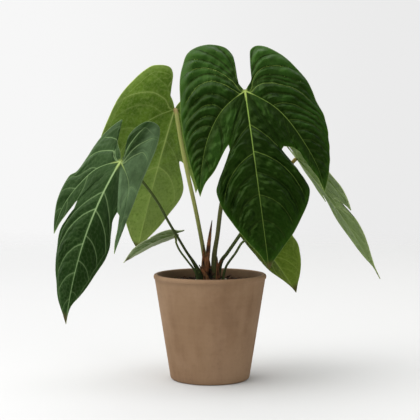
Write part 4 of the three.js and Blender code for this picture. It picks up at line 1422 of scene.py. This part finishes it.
# %% [markdown]
# A stalk is a tube: a circle carried along a smooth path. Blender's curves with a bevel could make it,
# but a ring of our own can widen, flatten and carry furrows, and it keeps how far along it each point
# lies. The path is spaced by the square root of each step, which keeps a curve through uneven points from
# overshooting.

# %% Tubes
FINE_STEPS = 600


def even_path(path, count):
    """Points at even lengths along a smooth curve through the path's points."""
    points = np.array(path, float)
    roots = np.linalg.norm(np.diff(points, axis=0), axis=1) ** 0.5
    stations = np.concatenate([[0], np.cumsum(roots)])
    fine = spline(stations, points, np.linspace(0, stations[-1], FINE_STEPS))
    length = running_length(fine)
    at = np.linspace(0, length[-1], count)
    return np.stack([np.interp(at, length, fine[:, k]) for k in range(3)], 1), length[-1]


def tube(path, radius, rings, sides, flatten=1.0, hint=(0, 1, 0), rough=None):
    """A closed bar: at each share of the path's length a ring of the given radius, square to the path.
    flatten thins it along the hint's direction; rough(share, angle) scales the radius for ridges and wear.
    Gives its points, quads and caps and, for each point, its length, angle share and length share."""
    centre, length = even_path(path, rings)
    way = np.gradient(centre, axis=0)
    way /= np.linalg.norm(way, axis=1, keepdims=True)
    thin = np.array(hint, float) - way * (way @ np.array(hint, float))[:, None]
    thin /= np.linalg.norm(thin, axis=1, keepdims=True)
    broad = np.cross(thin, way)
    share = np.linspace(0, 1, rings)[:, None]
    angle = np.linspace(0, 2 * np.pi, sides, endpoint=False)[None, :]
    r = radius(share) * (rough(share, angle) if rough else np.ones((rings, sides)))
    across = broad[:, None] * (r * np.cos(angle))[..., None]
    ring = across + thin[:, None] * (r * flatten * np.sin(angle))[..., None]
    body = (centre[:, None] + ring).reshape(-1, 3)
    points = np.concatenate([body, centre[:1], centre[-1:]])
    last = len(body)
    j = np.arange(sides)
    after = (j + 1) % sides
    first_cap = np.stack([np.full(sides, last), after, j], 1)
    last_cap = np.stack([np.full(sides, last + 1), last - sides + j, last - sides + after], 1)
    quads = grid_quads(rings, sides, wrap=True)[:, ::-1]
    columns = [np.broadcast_to(a, (rings, sides)) for a in (share * length, angle / (2 * np.pi), share)]
    numbers = np.concatenate([np.stack(columns, -1).reshape(-1, 3), [[0, 0, 0], [length, 0, 1]]])
    return points, quads, np.concatenate([first_cap, last_cap]), numbers


def join(parts):
    """Several closed shapes as one list of points, faces and numbers."""
    offsets = np.cumsum([0] + [len(p[0]) for p in parts[:-1]])
    points = np.concatenate([p[0] for p in parts])
    faces = sum(((p[1] + o).tolist() + (p[2] + o).tolist() for p, o in zip(parts, offsets)), [])
    return points, faces, np.concatenate([p[3] for p in parts])


sample = tube([(0, 0, 0), (0, 0, 50), (0, 0, 100)], lambda share: 2 + 0 * share, 3, 8)
print("points and quads of a small tube:", len(sample[0]), len(sample[1]))

# %% [markdown]
# Each leaf stands on a long round stalk that widens at its foot and swells at a short joint under the blade.
# The paths start inside the crown and follow the photographed stalks. The last two points are worked out
# from the blade, so that the stalk ends square to it, just under its ribs. A stalk's three radii are
# those of its foot, its middle and its joint.

# %% Stalks
STEMS = {
    "front": {
        "path": [
            (5, -4, 108), (5, -3.5, 128), (5.2, -3, 152), (9.3, -4, 178.9), (13.6, -5, 213.4),
            (23.3, -8, 258.7), (32.3, -15, 307.5), (37.5, -24, 338),
        ],
        "radii": (4.2, 2.7, 3),
    },
    "back_left": {
        "path": [
            (-4.5, 2, 108), (-5, 2, 128), (-6.8, 3, 149), (-9.1, 4.5, 163.5), (-17.8, 8, 208.6),
            (-26.6, 10, 248.1), (-34.8, 12, 287.5), (-39.5, 12, 314),
        ],
        "radii": (3.9, 2.55, 2.6),
    },
    "left": {
        "path": [
            (-10, -8, 108), (-12, -8, 128), (-19.6, -8.5, 143.7), (-29, -12, 158.4), (-38.7, -16, 175.2),
            (-50.7, -22, 196.1), (-62.5, -29, 218.8), (-79.9, -40, 244.1), (-95, -49, 261),
        ],
        "radii": (4.2, 1.6, 1.9),
    },
    "right": {
        "path": [
            (9, 8, 108), (9.8, 8, 126), (14.4, 12, 144.7), (21.3, 16, 153.6), (37.6, 23, 176.2),
            (70.4, 24, 221.8), (96, 15, 259),
        ],
        "radii": (3.6, 2.2, 2.4),
    },
    "low_right": {
        "path": [(15.5, -1, 108), (16.3, -1.5, 124), (20, -2, 138.8), (31.4, -3, 155.6), (41, -4.5, 170)],
        "radii": (2.6, 1.5, 1.7),
    },
    "small": {
        "path": [
            (-15.5, 4, 108), (-16.2, 4, 125), (-20, 5, 134.6), (-27.6, 6, 144.5), (-38.4, 7, 159.3),
            (-42.3, 7, 168.5),
        ],
        "radii": (2, 1.25, 1.4),
    },
}
print("stalks:", list(STEMS))

# %% [markdown]
# The radius changes softly along the stalk, so the foot and the joint need no pieces of their own. Low
# ridges and one furrow keep the long stalk from looking like a plastic rod.

# %% Build the stalks
JOINT_LENGTH = 6
JOINT_GAP = 0.35
STEM_RINGS = 160
STEM_SIDES = 28
FOOT_END = 0.28
JOINT_START = (0.86, 0.94)


def furrows(share, angle):
    """Seven low ridges that wind slowly round the stalk, and one furrow along its front."""
    return 1 + 0.018 * np.cos(7 * angle + 4 * share) - 0.05 * np.exp(-((angle - 4.7) / 0.35) ** 2)


def build_stem(name):
    """A tube along the stalk's path and on to its joint under the blade."""
    leaf = LEAVES[name]
    foot, middle, top = STEMS[name]["radii"]
    zero = np.array([0.0])
    n = placed(leaf)[2](zero, zero)[0]
    reach = BLADE_THICKNESS / 2 + RIB_HEIGHT + JOINT_GAP + max(0, -min(leaf["fold"])) * top
    ends = [tuple(np.array(leaf["junction"]) - n * d) for d in (reach + JOINT_LENGTH, reach)]

    def radius(share):
        widened = (foot - middle) * (1 - smooth(0, FOOT_END, share))
        joint = (top - middle) * smooth(*JOINT_START, share)
        return middle + widened + joint

    shape = tube([*STEMS[name]["path"], *ends], radius, STEM_RINGS, STEM_SIDES, rough=furrows)
    points, faces, numbers = join([shape])
    piece = add_piece(f"stalk_{name}", points, faces, f"stem_{name}")
    give_numbers(piece, "stalk", numbers)
    return piece, numbers[-1, 0]


stalks = {name: build_stem(name) for name in STEMS}
print("stalk lengths in mm:", {name: round(length) for name, (_, length) in stalks.items()})

# %% [markdown]
# A stalk is olive green with fine pale streaks, darker and browner at its foot, and ochre at the joint. The
# streaks are a noise stretched along the stalk, read from the lengths and angles kept on its mesh.

# %% Finish of the stalks
JOINT_COLOUR_LENGTH = 13.0
STALK_COLOURS = {
    "front": ("#262a12", "#4a4c28", "#666a3a", "#7e7e44"),
    "back_left": ("#3c3018", "#5a6030", "#acb066", "#b6a06a"),
    "left": ("#12160a", "#272f10", "#3d4c1a", "#7c8a48"),
    "right": ("#26281a", "#3c4824", "#566632", "#a38c4c"),
    "low_right": ("#282c16", "#3a4424", "#4c5a2e", "#7e8c4c"),
    "small": ("#282c16", "#3f4c28", "#566636", "#75823f"),
}


def stalk_finish(name, foot, low, high, joint, length):
    """Four colours along the length, streaked lengthwise by a stretched noise."""
    finish = Finish(name, roughness=0.55, specular=0.18)
    vector, _, _, share = finish.numbers("stalk")
    streaks = finish.noise(finish.scaled(vector, (0.02, 26.0, 0.0)), 1.0, 3.0, 0.6)
    flecks = finish.noise(finish.place(), 420.0, 2.0, 0.5)
    green = finish.mix(finish.step(share, 0.12, 0.75), paint(low), paint(high))
    green = finish.tint(green, foot, finish.fade(share, 0.02, 0.2))
    green = finish.tint(green, high, finish.step(streaks, 0.42, 0.72), 0.35)
    green = finish.tint(green, joint, finish.step(flecks, 0.58, 0.72), 0.3)
    near = 1 - JOINT_COLOUR_LENGTH / length
    green = finish.tint(green, joint, finish.step(share, near, near + 0.03))
    finish.set("Base Color", green)
    finish.bump(finish.sum("ADD", streaks, finish.times(flecks, 0.4)), 0.0004, 0.5)
    return finish.material


for name, (piece, length) in stalks.items():
    piece.data.materials.append(stalk_finish(f"stalk_{name}", *STALK_COLOURS[name], length))
print("dressed stalks:", len(stalks))

# %% [markdown]
# The crown is the plant's short stock. Dry bracts stand round it: one tall reddish spike and broader brown
# ones, and thick pale roots arch from it into the bark. The bracts could be thin sheets, but flattened bars
# stay closed and sturdy, and fibres along them make them look dry. A bract has a path, a half width, the
# power by which it tapers and how flat it is.

# %% Crown
STOCK_PATH = [(0, -1, 112), (0, -1, 120), (0, -0.5, 128), (0.5, 0, 136)]
SHEATHS = [
    {
        "path": [
            (-5.6, -9, 112), (-5.2, -9.8, 130), (-4.2, -9.8, 143), (-2.6, -9.2, 155), (-1.4, -8.4, 167),
            (0.6, -7.4, 184), (2.6, -6.4, 197),
        ],
        "width": 2.85, "taper": 3, "flatten": 0.4,
    },
    {
        "path": [(-8.6, -4.8, 112), (-8.6, -5, 132), (-8, -4.4, 148), (-7.8, -2.2, 166)],
        "width": 3, "taper": 2, "flatten": 0.35,
    },
    {
        "path": [(-1.5, -12.5, 112), (-3, -13.8, 124), (-8, -14.2, 133), (-13.6, -12.8, 142.5)],
        "width": 3.4, "taper": 1.6, "flatten": 0.35,
    },
    {
        "path": [(9.5, -6.6, 112), (9.6, -6.8, 128), (9.2, -7, 142), (8.8, -6.6, 152)],
        "width": 3, "taper": 1.2, "flatten": 0.35,
    },
    {
        "path": [(7.5, 2.5, 112), (8.5, 3, 128), (11, 5.4, 139), (16.5, 9.4, 149.5)],
        "width": 3.2, "taper": 1.6, "flatten": 0.35,
    },
    {
        "path": [(-1, 8.5, 112), (-1, 9.6, 128), (-2, 10.2, 142), (-3.5, 10.4, 156)],
        "width": 4, "taper": 2, "flatten": 0.3,
    },
]
ROOTS = [
    [(-3, -9, 118), (-5, -13, 122), (-7, -18, 121.5), (-8, -22, 117)],
    [(2, -10, 118), (3, -14, 122.5), (2, -19, 122), (0, -24, 117)],
    [(7, -8, 118), (10, -12, 122), (14, -16, 121), (17, -19, 116.5)],
    [(11, 4, 118), (16, 8, 122), (21, 12, 120.5), (24, 15, 116.5)],
    [(-9, 5, 118), (-12, 10, 122), (-17, 14, 120.5), (-20, 17, 116.5)],
]
print("bracts:", len(SHEATHS), "roots:", len(ROOTS))

# %% [markdown]
# The crown's parts are all tubes: the knotted stock, narrowing upwards, the flattened bracts that taper to
# a point, and the round roots. They become one mesh, and each point keeps the number of its kind.

# %% Build the crown
STOCK, BRACT, ROOT = 0, 1, 2
STOCK_RADIUS = 13
STOCK_TAPER = 5.5
STOCK_FLATNESS = 0.72
BRACT_TIP = 0.35
ROOT_RADIUS = 1.5
ROOT_TAPER = 0.4


def fibres(share, angle):
    """Eleven fibres that fade towards the tip, and five that wind round."""
    return 1 + 0.05 * np.cos(11 * angle) * (1 - share) + 0.05 * np.sin(5 * angle + 9 * share)


def knots(share, angle):
    """Two crossed waves round and along the bar."""
    return 1 + 0.10 * np.sin(3 * angle + 14 * share) + 0.06 * np.cos(8 * angle - 21 * share)


def bract(path, width, taper, flatten):
    """A flattened bar whose half width shrinks by 1 - share^taper to a third of a millimetre."""
    return tube(path, lambda share: width * (1 - share**taper) + BRACT_TIP, 70, 32, flatten, rough=fibres)


def root(path):
    """A knotted bar that narrows evenly."""
    return tube(path, lambda share: ROOT_RADIUS - ROOT_TAPER * share, 40, 20, hint=(0, 0, 1), rough=knots)


def stock(path):
    """A knotted bar, flattened, whose radius falls with the square of the height."""
    return tube(
        path, lambda share: STOCK_RADIUS - STOCK_TAPER * share**2, 40, 56, STOCK_FLATNESS, rough=knots
    )


crown_parts = [(STOCK, stock(STOCK_PATH))]
crown_parts += [(BRACT, bract(**row)) for row in SHEATHS]
crown_parts += [(ROOT, root(path)) for path in ROOTS]
points, faces, numbers = join([part for _, part in crown_parts])
kinds = np.concatenate([np.full(len(part[0]), kind) for kind, part in crown_parts])
crown = add_piece("crown_and_bracts", points, faces, "crown")
give_numbers(crown, "growth", np.column_stack([numbers[:, 0], numbers[:, 2], kinds]))
print("crown faces:", len(crown.data.polygons))

# %% [markdown]
# The stock is nearly black, the bracts brown with pale fibres and dry grey tips, the roots pale and dusty.
# One material does all three: each point of the mesh says which part it belongs to.

# %% Finish of the crown
finish = Finish("dry_bract", roughness=0.8, specular=0.2)
_, _, share, kind = finish.numbers("growth")
spot = finish.place()
fibre = finish.noise(finish.scaled(spot, (900.0, 900.0, 60.0)), 1.0, 3.0, 0.6)
patch = finish.noise(spot, 130.0, 3.0, 0.6)
brown = finish.mix(finish.step(patch, 0.35, 0.65), paint("#21170e"), paint("#6f4428"))
brown = finish.tint(brown, "#a67c50", finish.step(fibre, 0.48, 0.7), 0.5)
brown = finish.tint(brown, "#2f2a22", finish.step(share, 0.82, 0.98))
dark = finish.mix(finish.step(patch, 0.4, 0.7), paint("#120e08"), paint("#3b2a1a"))
pale = finish.mix(finish.step(patch, 0.35, 0.7), paint("#6d6556"), paint("#a79f8c"))
brown = finish.mix(finish.step(kind, STOCK + 0.2, STOCK + 0.8), dark, brown)
finish.set("Base Color", finish.mix(finish.step(kind, BRACT + 0.2, BRACT + 0.8), brown, pale))
finish.bump(finish.sum("ADD", fibre, patch), 0.0008, 0.7)
crown.data.materials.append(finish.material)
print("crown dressed")

# %% [markdown]
# The pot holds dark bark mix up to 11 mm below its rim. The mix is a closed body that fills the pot, with a
# gap of a few tenths so that it never cuts into the clay. Its top is lumpy and sinks a little at the wall.

# %% Bed of the mix
POT_BASE_RADIUS = 49.5
POT_NECK_RADIUS = 68.6
POT_RIM_RADIUS = 70
POT_HEIGHT = 130
POT_WALL = 6
POT_FLOOR = 6
POT_LIP = 6
MIX_LEVEL = 119
MIX_GAP = 0.3
MIX_CORNER_WIDTH = 3.3
MIX_CORNER_HEIGHT = 3
SINK = 1.2
SINK_RADII = (52, 62)
BED_RINGS = 70
BED_SIDES = 200


def inner_wall(z):
    """The pot's inner radius at a height: the outer taper less the wall."""
    return POT_BASE_RADIUS - POT_WALL + (POT_NECK_RADIUS - POT_BASE_RADIUS) * z / (POT_HEIGHT - POT_LIP)


def relief(x, y, radius):
    """Three crossed waves of 1.6 mm and a finer rubble of 0.5 mm, less the sink near the wall."""
    mounds = 0.5 * np.sin(0.31 * x + 1.3) * np.cos(0.27 * y) + 0.5 * np.sin(0.52 * y + 0.4 * x)
    mounds += 0.4 * np.cos(0.71 * x - 0.55 * y + 2)
    rubble = np.sin(1.9 * x + 2 * np.sin(y)) * np.cos(1.6 * y + 1.5 * np.sin(1.3 * x))
    return 1.6 * mounds + 0.5 * rubble - SINK * smooth(*SINK_RADII, radius)


mix_low = POT_FLOOR + MIX_GAP
corner_top = mix_low + MIX_CORNER_HEIGHT
corner_radius = inner_wall(corner_top) - MIX_GAP
under_radii = [0, corner_radius - MIX_CORNER_WIDTH, corner_radius]
under_heights = [mix_low, mix_low, corner_top]
top_radii = np.linspace(inner_wall(MIX_LEVEL - MIX_CORNER_HEIGHT) - MIX_GAP, 0, BED_RINGS)
radius = np.concatenate([under_radii, top_radii])
height = np.concatenate([under_heights, np.full(BED_RINGS, MIX_LEVEL)])
bed = revolved(radius, height, BED_SIDES)
top = bed[len(under_radii):]
top[..., 2] += relief(top[..., 0], top[..., 1], top_radii[:, None])
bed = bed.reshape(-1, 3)
bed_chosen, bed_faces = welded(bed, grid_quads(len(radius), BED_SIDES, wrap=True)[:, ::-1])
bed = bed[bed_chosen]
print("bed points:", len(bed))

# %% [markdown]
# Several hundred bark chips lie on the bed. Scattering one chip with particles would repeat its shape, so
# each is worked out: a ball pressed towards a block, stretched three ways and dented at random, then
# tipped and turned. All draws come from one seed, so the mix looks the same every time.

# %% Bark chips
CHIPS = 620
CHIP_ROWS = 6
CHIP_SIDES = 9
CHIP_SMALLEST = (1.2, 0.9, 0.5)
CHIP_LARGEST = (3.6, 2.4, 1.3)
CHIP_DENT = 0.16
CHIP_LEAN = 0.45
BLOCKINESS = 0.7


def turned(points, first, second, angle):
    """Rows of points turned in the plane of two axes, each row by its own angle."""
    made = points.copy()
    c, s = np.cos(angle)[:, None], np.sin(angle)[:, None]
    made[..., first] = c * points[..., first] - s * points[..., second]
    made[..., second] = s * points[..., first] + c * points[..., second]
    return made


rng = np.random.default_rng(5)
tilt = np.linspace(0, np.pi, CHIP_ROWS)
ball = revolved(np.sin(tilt), np.cos(tilt), CHIP_SIDES).reshape(-1, 3)
block = np.sign(ball) * np.abs(ball) ** BLOCKINESS
sizes = rng.uniform(CHIP_SMALLEST, CHIP_LARGEST, (CHIPS, 3))
dents = 1 + CHIP_DENT * rng.standard_normal((CHIPS, len(ball), 1))
dents[:, :CHIP_SIDES] = dents[:, :1]
dents[:, -CHIP_SIDES:] = dents[:, -1:]
chips = block[None] * sizes[:, None] * dents
spin = rng.uniform(0, 2 * np.pi, CHIPS)
lean = rng.normal(0, CHIP_LEAN, CHIPS)
roll = rng.normal(0, CHIP_LEAN, CHIPS)
chips = turned(turned(turned(chips, 1, 2, lean), 0, 2, roll), 0, 1, spin)
print("chips:", chips.shape[0], "with", chips.shape[1], "points each, the poles many times over")

# %% [markdown]
# The chips are strewn evenly over a disc: the square root of an even draw gives every ring its fair share.
# Each follows the mounds below it, sunk or raised a little. The poles of each ball are joined, bed and
# chips become one mesh, and every chip gets a tone of its own.

# %% Strewing the chips
CHIP_SPREAD = 57.0
CHIP_RISE = (-0.2, 0.9)
CHIP_TONES = (0.15, 1)
far = CHIP_SPREAD * np.sqrt(rng.uniform(0.0, 1.0, CHIPS))
way = rng.uniform(0, 2 * np.pi, CHIPS)
x, y = far * np.cos(way), far * np.sin(way)
level = MIX_LEVEL + relief(x, y, far) + rng.uniform(*CHIP_RISE, CHIPS)
chips = (chips + np.column_stack([x, y, level])[:, None]).reshape(-1, 3)
chip_quads = grid_quads(CHIP_ROWS, CHIP_SIDES, wrap=True)[:, ::-1]
all_chip_quads = chip_quads[None] + np.arange(CHIPS)[:, None, None] * len(ball)
chip_chosen, chip_faces = welded(chips, all_chip_quads.reshape(-1, 4))
faces = bed_faces + [[corner + len(bed) for corner in face] for face in chip_faces]
mix = add_piece("bark_mix", np.concatenate([bed, chips[chip_chosen]]), faces, "potting_mix")
chip_tone = rng.uniform(*CHIP_TONES, CHIPS)[chip_chosen // len(ball)]
tone = np.concatenate([np.zeros(len(bed)), chip_tone])
give_numbers(mix, "tone", np.column_stack([tone, tone, tone]))
print("bark mix faces:", len(mix.data.polygons))

# %% [markdown]
# The bed is nearly black earth, and each chip has its own tone of bark brown, from the number on its mesh.

# %% Finish of the mix
finish = Finish("bark", roughness=0.95, specular=0.15)
chip_share = finish.numbers("tone")[1]
crumb = finish.noise(finish.place(), 420.0, 4.0, 0.65)
earth = finish.mix(finish.step(crumb, 0.35, 0.7), paint("#0c0906"), paint("#2a1d13"))
bark = finish.mix(finish.step(crumb, 0.35, 0.7), paint("#22150c"), paint("#5a3a22"))
finish.set("Base Color", finish.mix(finish.step(chip_share, 0.0, 1.0), earth, bark))
finish.bump(crumb, 0.0012, 0.8)
mix.data.materials.append(finish.material)
print("mix dressed")

# %% [markdown]
# The pot is turned clay: a straight taper from a small foot to a low rounded lip, hollow inside. It is one
# profile carried round the axis, as a potter's wheel would do it, with a few points at each rounded corner.

# %% Pot
POT_SIDES = 192
FOOT_TOP = 3
FOOT_RING = 30
FLOOR_RING = 25
LIP_FOOT = POT_HEIGHT - POT_LIP
INSIDE_TOP = POT_HEIGHT - 4
INSIDE_FOOT = POT_FLOOR + 3
WALL_SHARES = np.arange(1, 24) / 24
INSIDE_SHARES = np.arange(1, 13) / 12


def rounded(radius, height, turns):
    """Points of a rounded corner: steps in and up from a radius and a height."""
    return [(radius + step_in, height + step_up) for step_in, step_up in turns]


foot_corner = rounded(POT_BASE_RADIUS, 0, [(-3, 0), (-1.7, 0.25), (-0.7, 1.1), (0, FOOT_TOP)])
outer_wall = [
    (POT_BASE_RADIUS + (POT_NECK_RADIUS - POT_BASE_RADIUS) * share, FOOT_TOP + (LIP_FOOT - FOOT_TOP) * share)
    for share in WALL_SHARES
]
neck = rounded(POT_NECK_RADIUS, LIP_FOOT, [(0, 0), (0.5, 0.25)])
lip = rounded(POT_RIM_RADIUS, POT_HEIGHT, [
    (-0.4, 0.9 - POT_LIP), (-0.05, -4), (0, -3), (-0.15, -1.9), (-0.7, -0.9), (-1.7, -0.25), (-3, 0),
    (-4.4, -0.25), (-5.4, -1.1), (-6, -2.4),
])
inside_heights = [INSIDE_TOP, *(INSIDE_TOP - (INSIDE_TOP - INSIDE_FOOT) * INSIDE_SHARES)]
inside = [(inner_wall(z), z) for z in inside_heights]
inside_corner = rounded(inner_wall(INSIDE_FOOT), POT_FLOOR, [(-0.9, 0.9), (-3, 0)])
underside = [(0, 0), (FOOT_RING, 0)]
floor_top = [(FLOOR_RING, POT_FLOOR), (0, POT_FLOOR)]
profile = [*underside, *foot_corner, *outer_wall, *neck, *lip, *inside, *inside_corner, *floor_top]
shell = revolved(*np.array(profile, float).T, POT_SIDES).reshape(-1, 3)
shell_chosen, faces = welded(shell, grid_quads(len(profile), POT_SIDES, wrap=True)[:, ::-1])
pot = add_piece("clay_pot", shell[shell_chosen], faces, "pot")
print("pot faces:", len(pot.data.polygons))

# %% [markdown]
# Three drain holes go through the floor. They are cut with three bars and a Boolean modifier, which is
# applied at once, so that the pot stays one plain mesh.

# %% Drain holes
DRAIN_RADIUS = 4
DRAIN_SPACING = 20
DRAIN_ANGLES = (30, 150, 270)
DRAIN_BAR = (-3, 3, 9)
DRAIN_SIDES = 40
cutters = []
for angle in DRAIN_ANGLES:
    x = DRAIN_SPACING * math.cos(math.radians(angle))
    y = DRAIN_SPACING * math.sin(math.radians(angle))
    path = [(x, y, z) for z in DRAIN_BAR]
    cutters.append(tube(path, lambda share: DRAIN_RADIUS + 0 * share, len(path), DRAIN_SIDES))
points, faces, _ = join(cutters)
cutter = add_object("drain_cutter", points * MM, faces)
drill = pot.modifiers.new("drain", "BOOLEAN")
drill.object = cutter
drill.operation = "DIFFERENCE"
drill.solver = "EXACT"
bpy.context.view_layer.update()
cut_mesh = bpy.data.meshes.new_from_object(pot.evaluated_get(bpy.context.evaluated_depsgraph_get()))
pot.modifiers.clear()
pot.data = cut_mesh
bpy.data.objects.remove(cutter)
print("pot with drain holes, faces:", len(pot.data.polygons))

# %% [markdown]
# Unglazed taupe clay is matt, with soft clouds of warmer and greyer tone, faint level turning marks, tiny
# pits and a slightly darker, rubbed lip. Upright streaks, lighter and darker, are partly smears in the clay
# and partly painted light and shade: their noise is shifted to set the pale ones where the light falls.
# The inside is painted darker: painted shade inside the pot. It is found by its distance from the axis,
# less the taper at that height.

# %% Finish of the pot
INSIDE_TAPER = 0.157
INSIDE_EDGE = (0.044, 0.0455)
LIP_EDGE = (0.1285, 0.13)
finish = Finish("taupe_clay", roughness=0.88, specular=0.2)
spot = finish.place()
cloud = finish.noise(spot, 14.0, 4.0, 0.6)
fine = finish.noise(spot, 260.0, 3.0, 0.6)
turning_marks = finish.noise(finish.scaled(spot, (3.0, 3.0, 240.0)), 1.0, 2.0, 0.5)
streaked = finish.scaled(spot, (30.0, 30.0, 6.0))
# The streaks' noise is shifted to set pale streaks where the light falls: partly smears, partly painted
# light.
streaks_placed_for_light = finish.add("ShaderNodeVectorMath", streaked, (5.3, 2.1, 0.7), operation="ADD")
upright = finish.noise(streaks_placed_for_light, 1.0, 4.0, 0.6)
clay = finish.mix(finish.step(cloud, 0.33, 0.68), paint("#82664c"), paint("#93775d"))
clay = finish.tint(clay, "#6b543f", finish.step(fine, 0.5, 0.75), 0.22)
# Pale streaks are partly smears and partly painted light; dark streaks partly smears and partly painted
# shade.
clay = finish.tint(clay, "#a68a6c", finish.step(upright, 0.35, 0.68), 0.28)
clay = finish.tint(clay, "#6e5540", finish.fade(upright, 0.25, 0.45), 0.25)
clay = finish.tint(clay, "#a78d72", finish.step(turning_marks, 0.45, 0.75), 0.05)
high = finish.split(spot)[2]
out_from_axis = finish.length(finish.scaled(spot, (1, 1, 0)))
within = finish.sum("MULTIPLY_ADD", high, -INSIDE_TAPER, out_from_axis)
# Painted shade: the inside wall is darkened.
clay = finish.tint(clay, "#3f2f20", finish.fade(within, *INSIDE_EDGE), 0.6)
clay = finish.tint(clay, "#5f4836", finish.step(high, *LIP_EDGE), 0.25)
finish.set("Base Color", clay)
finish.bump(finish.sum("MULTIPLY_ADD", turning_marks, 0.25, finish.times(fine, 0.6)), 0.0005, 0.6)
pot.data.materials.append(finish.material)
print("pot dressed")

# %% [markdown]
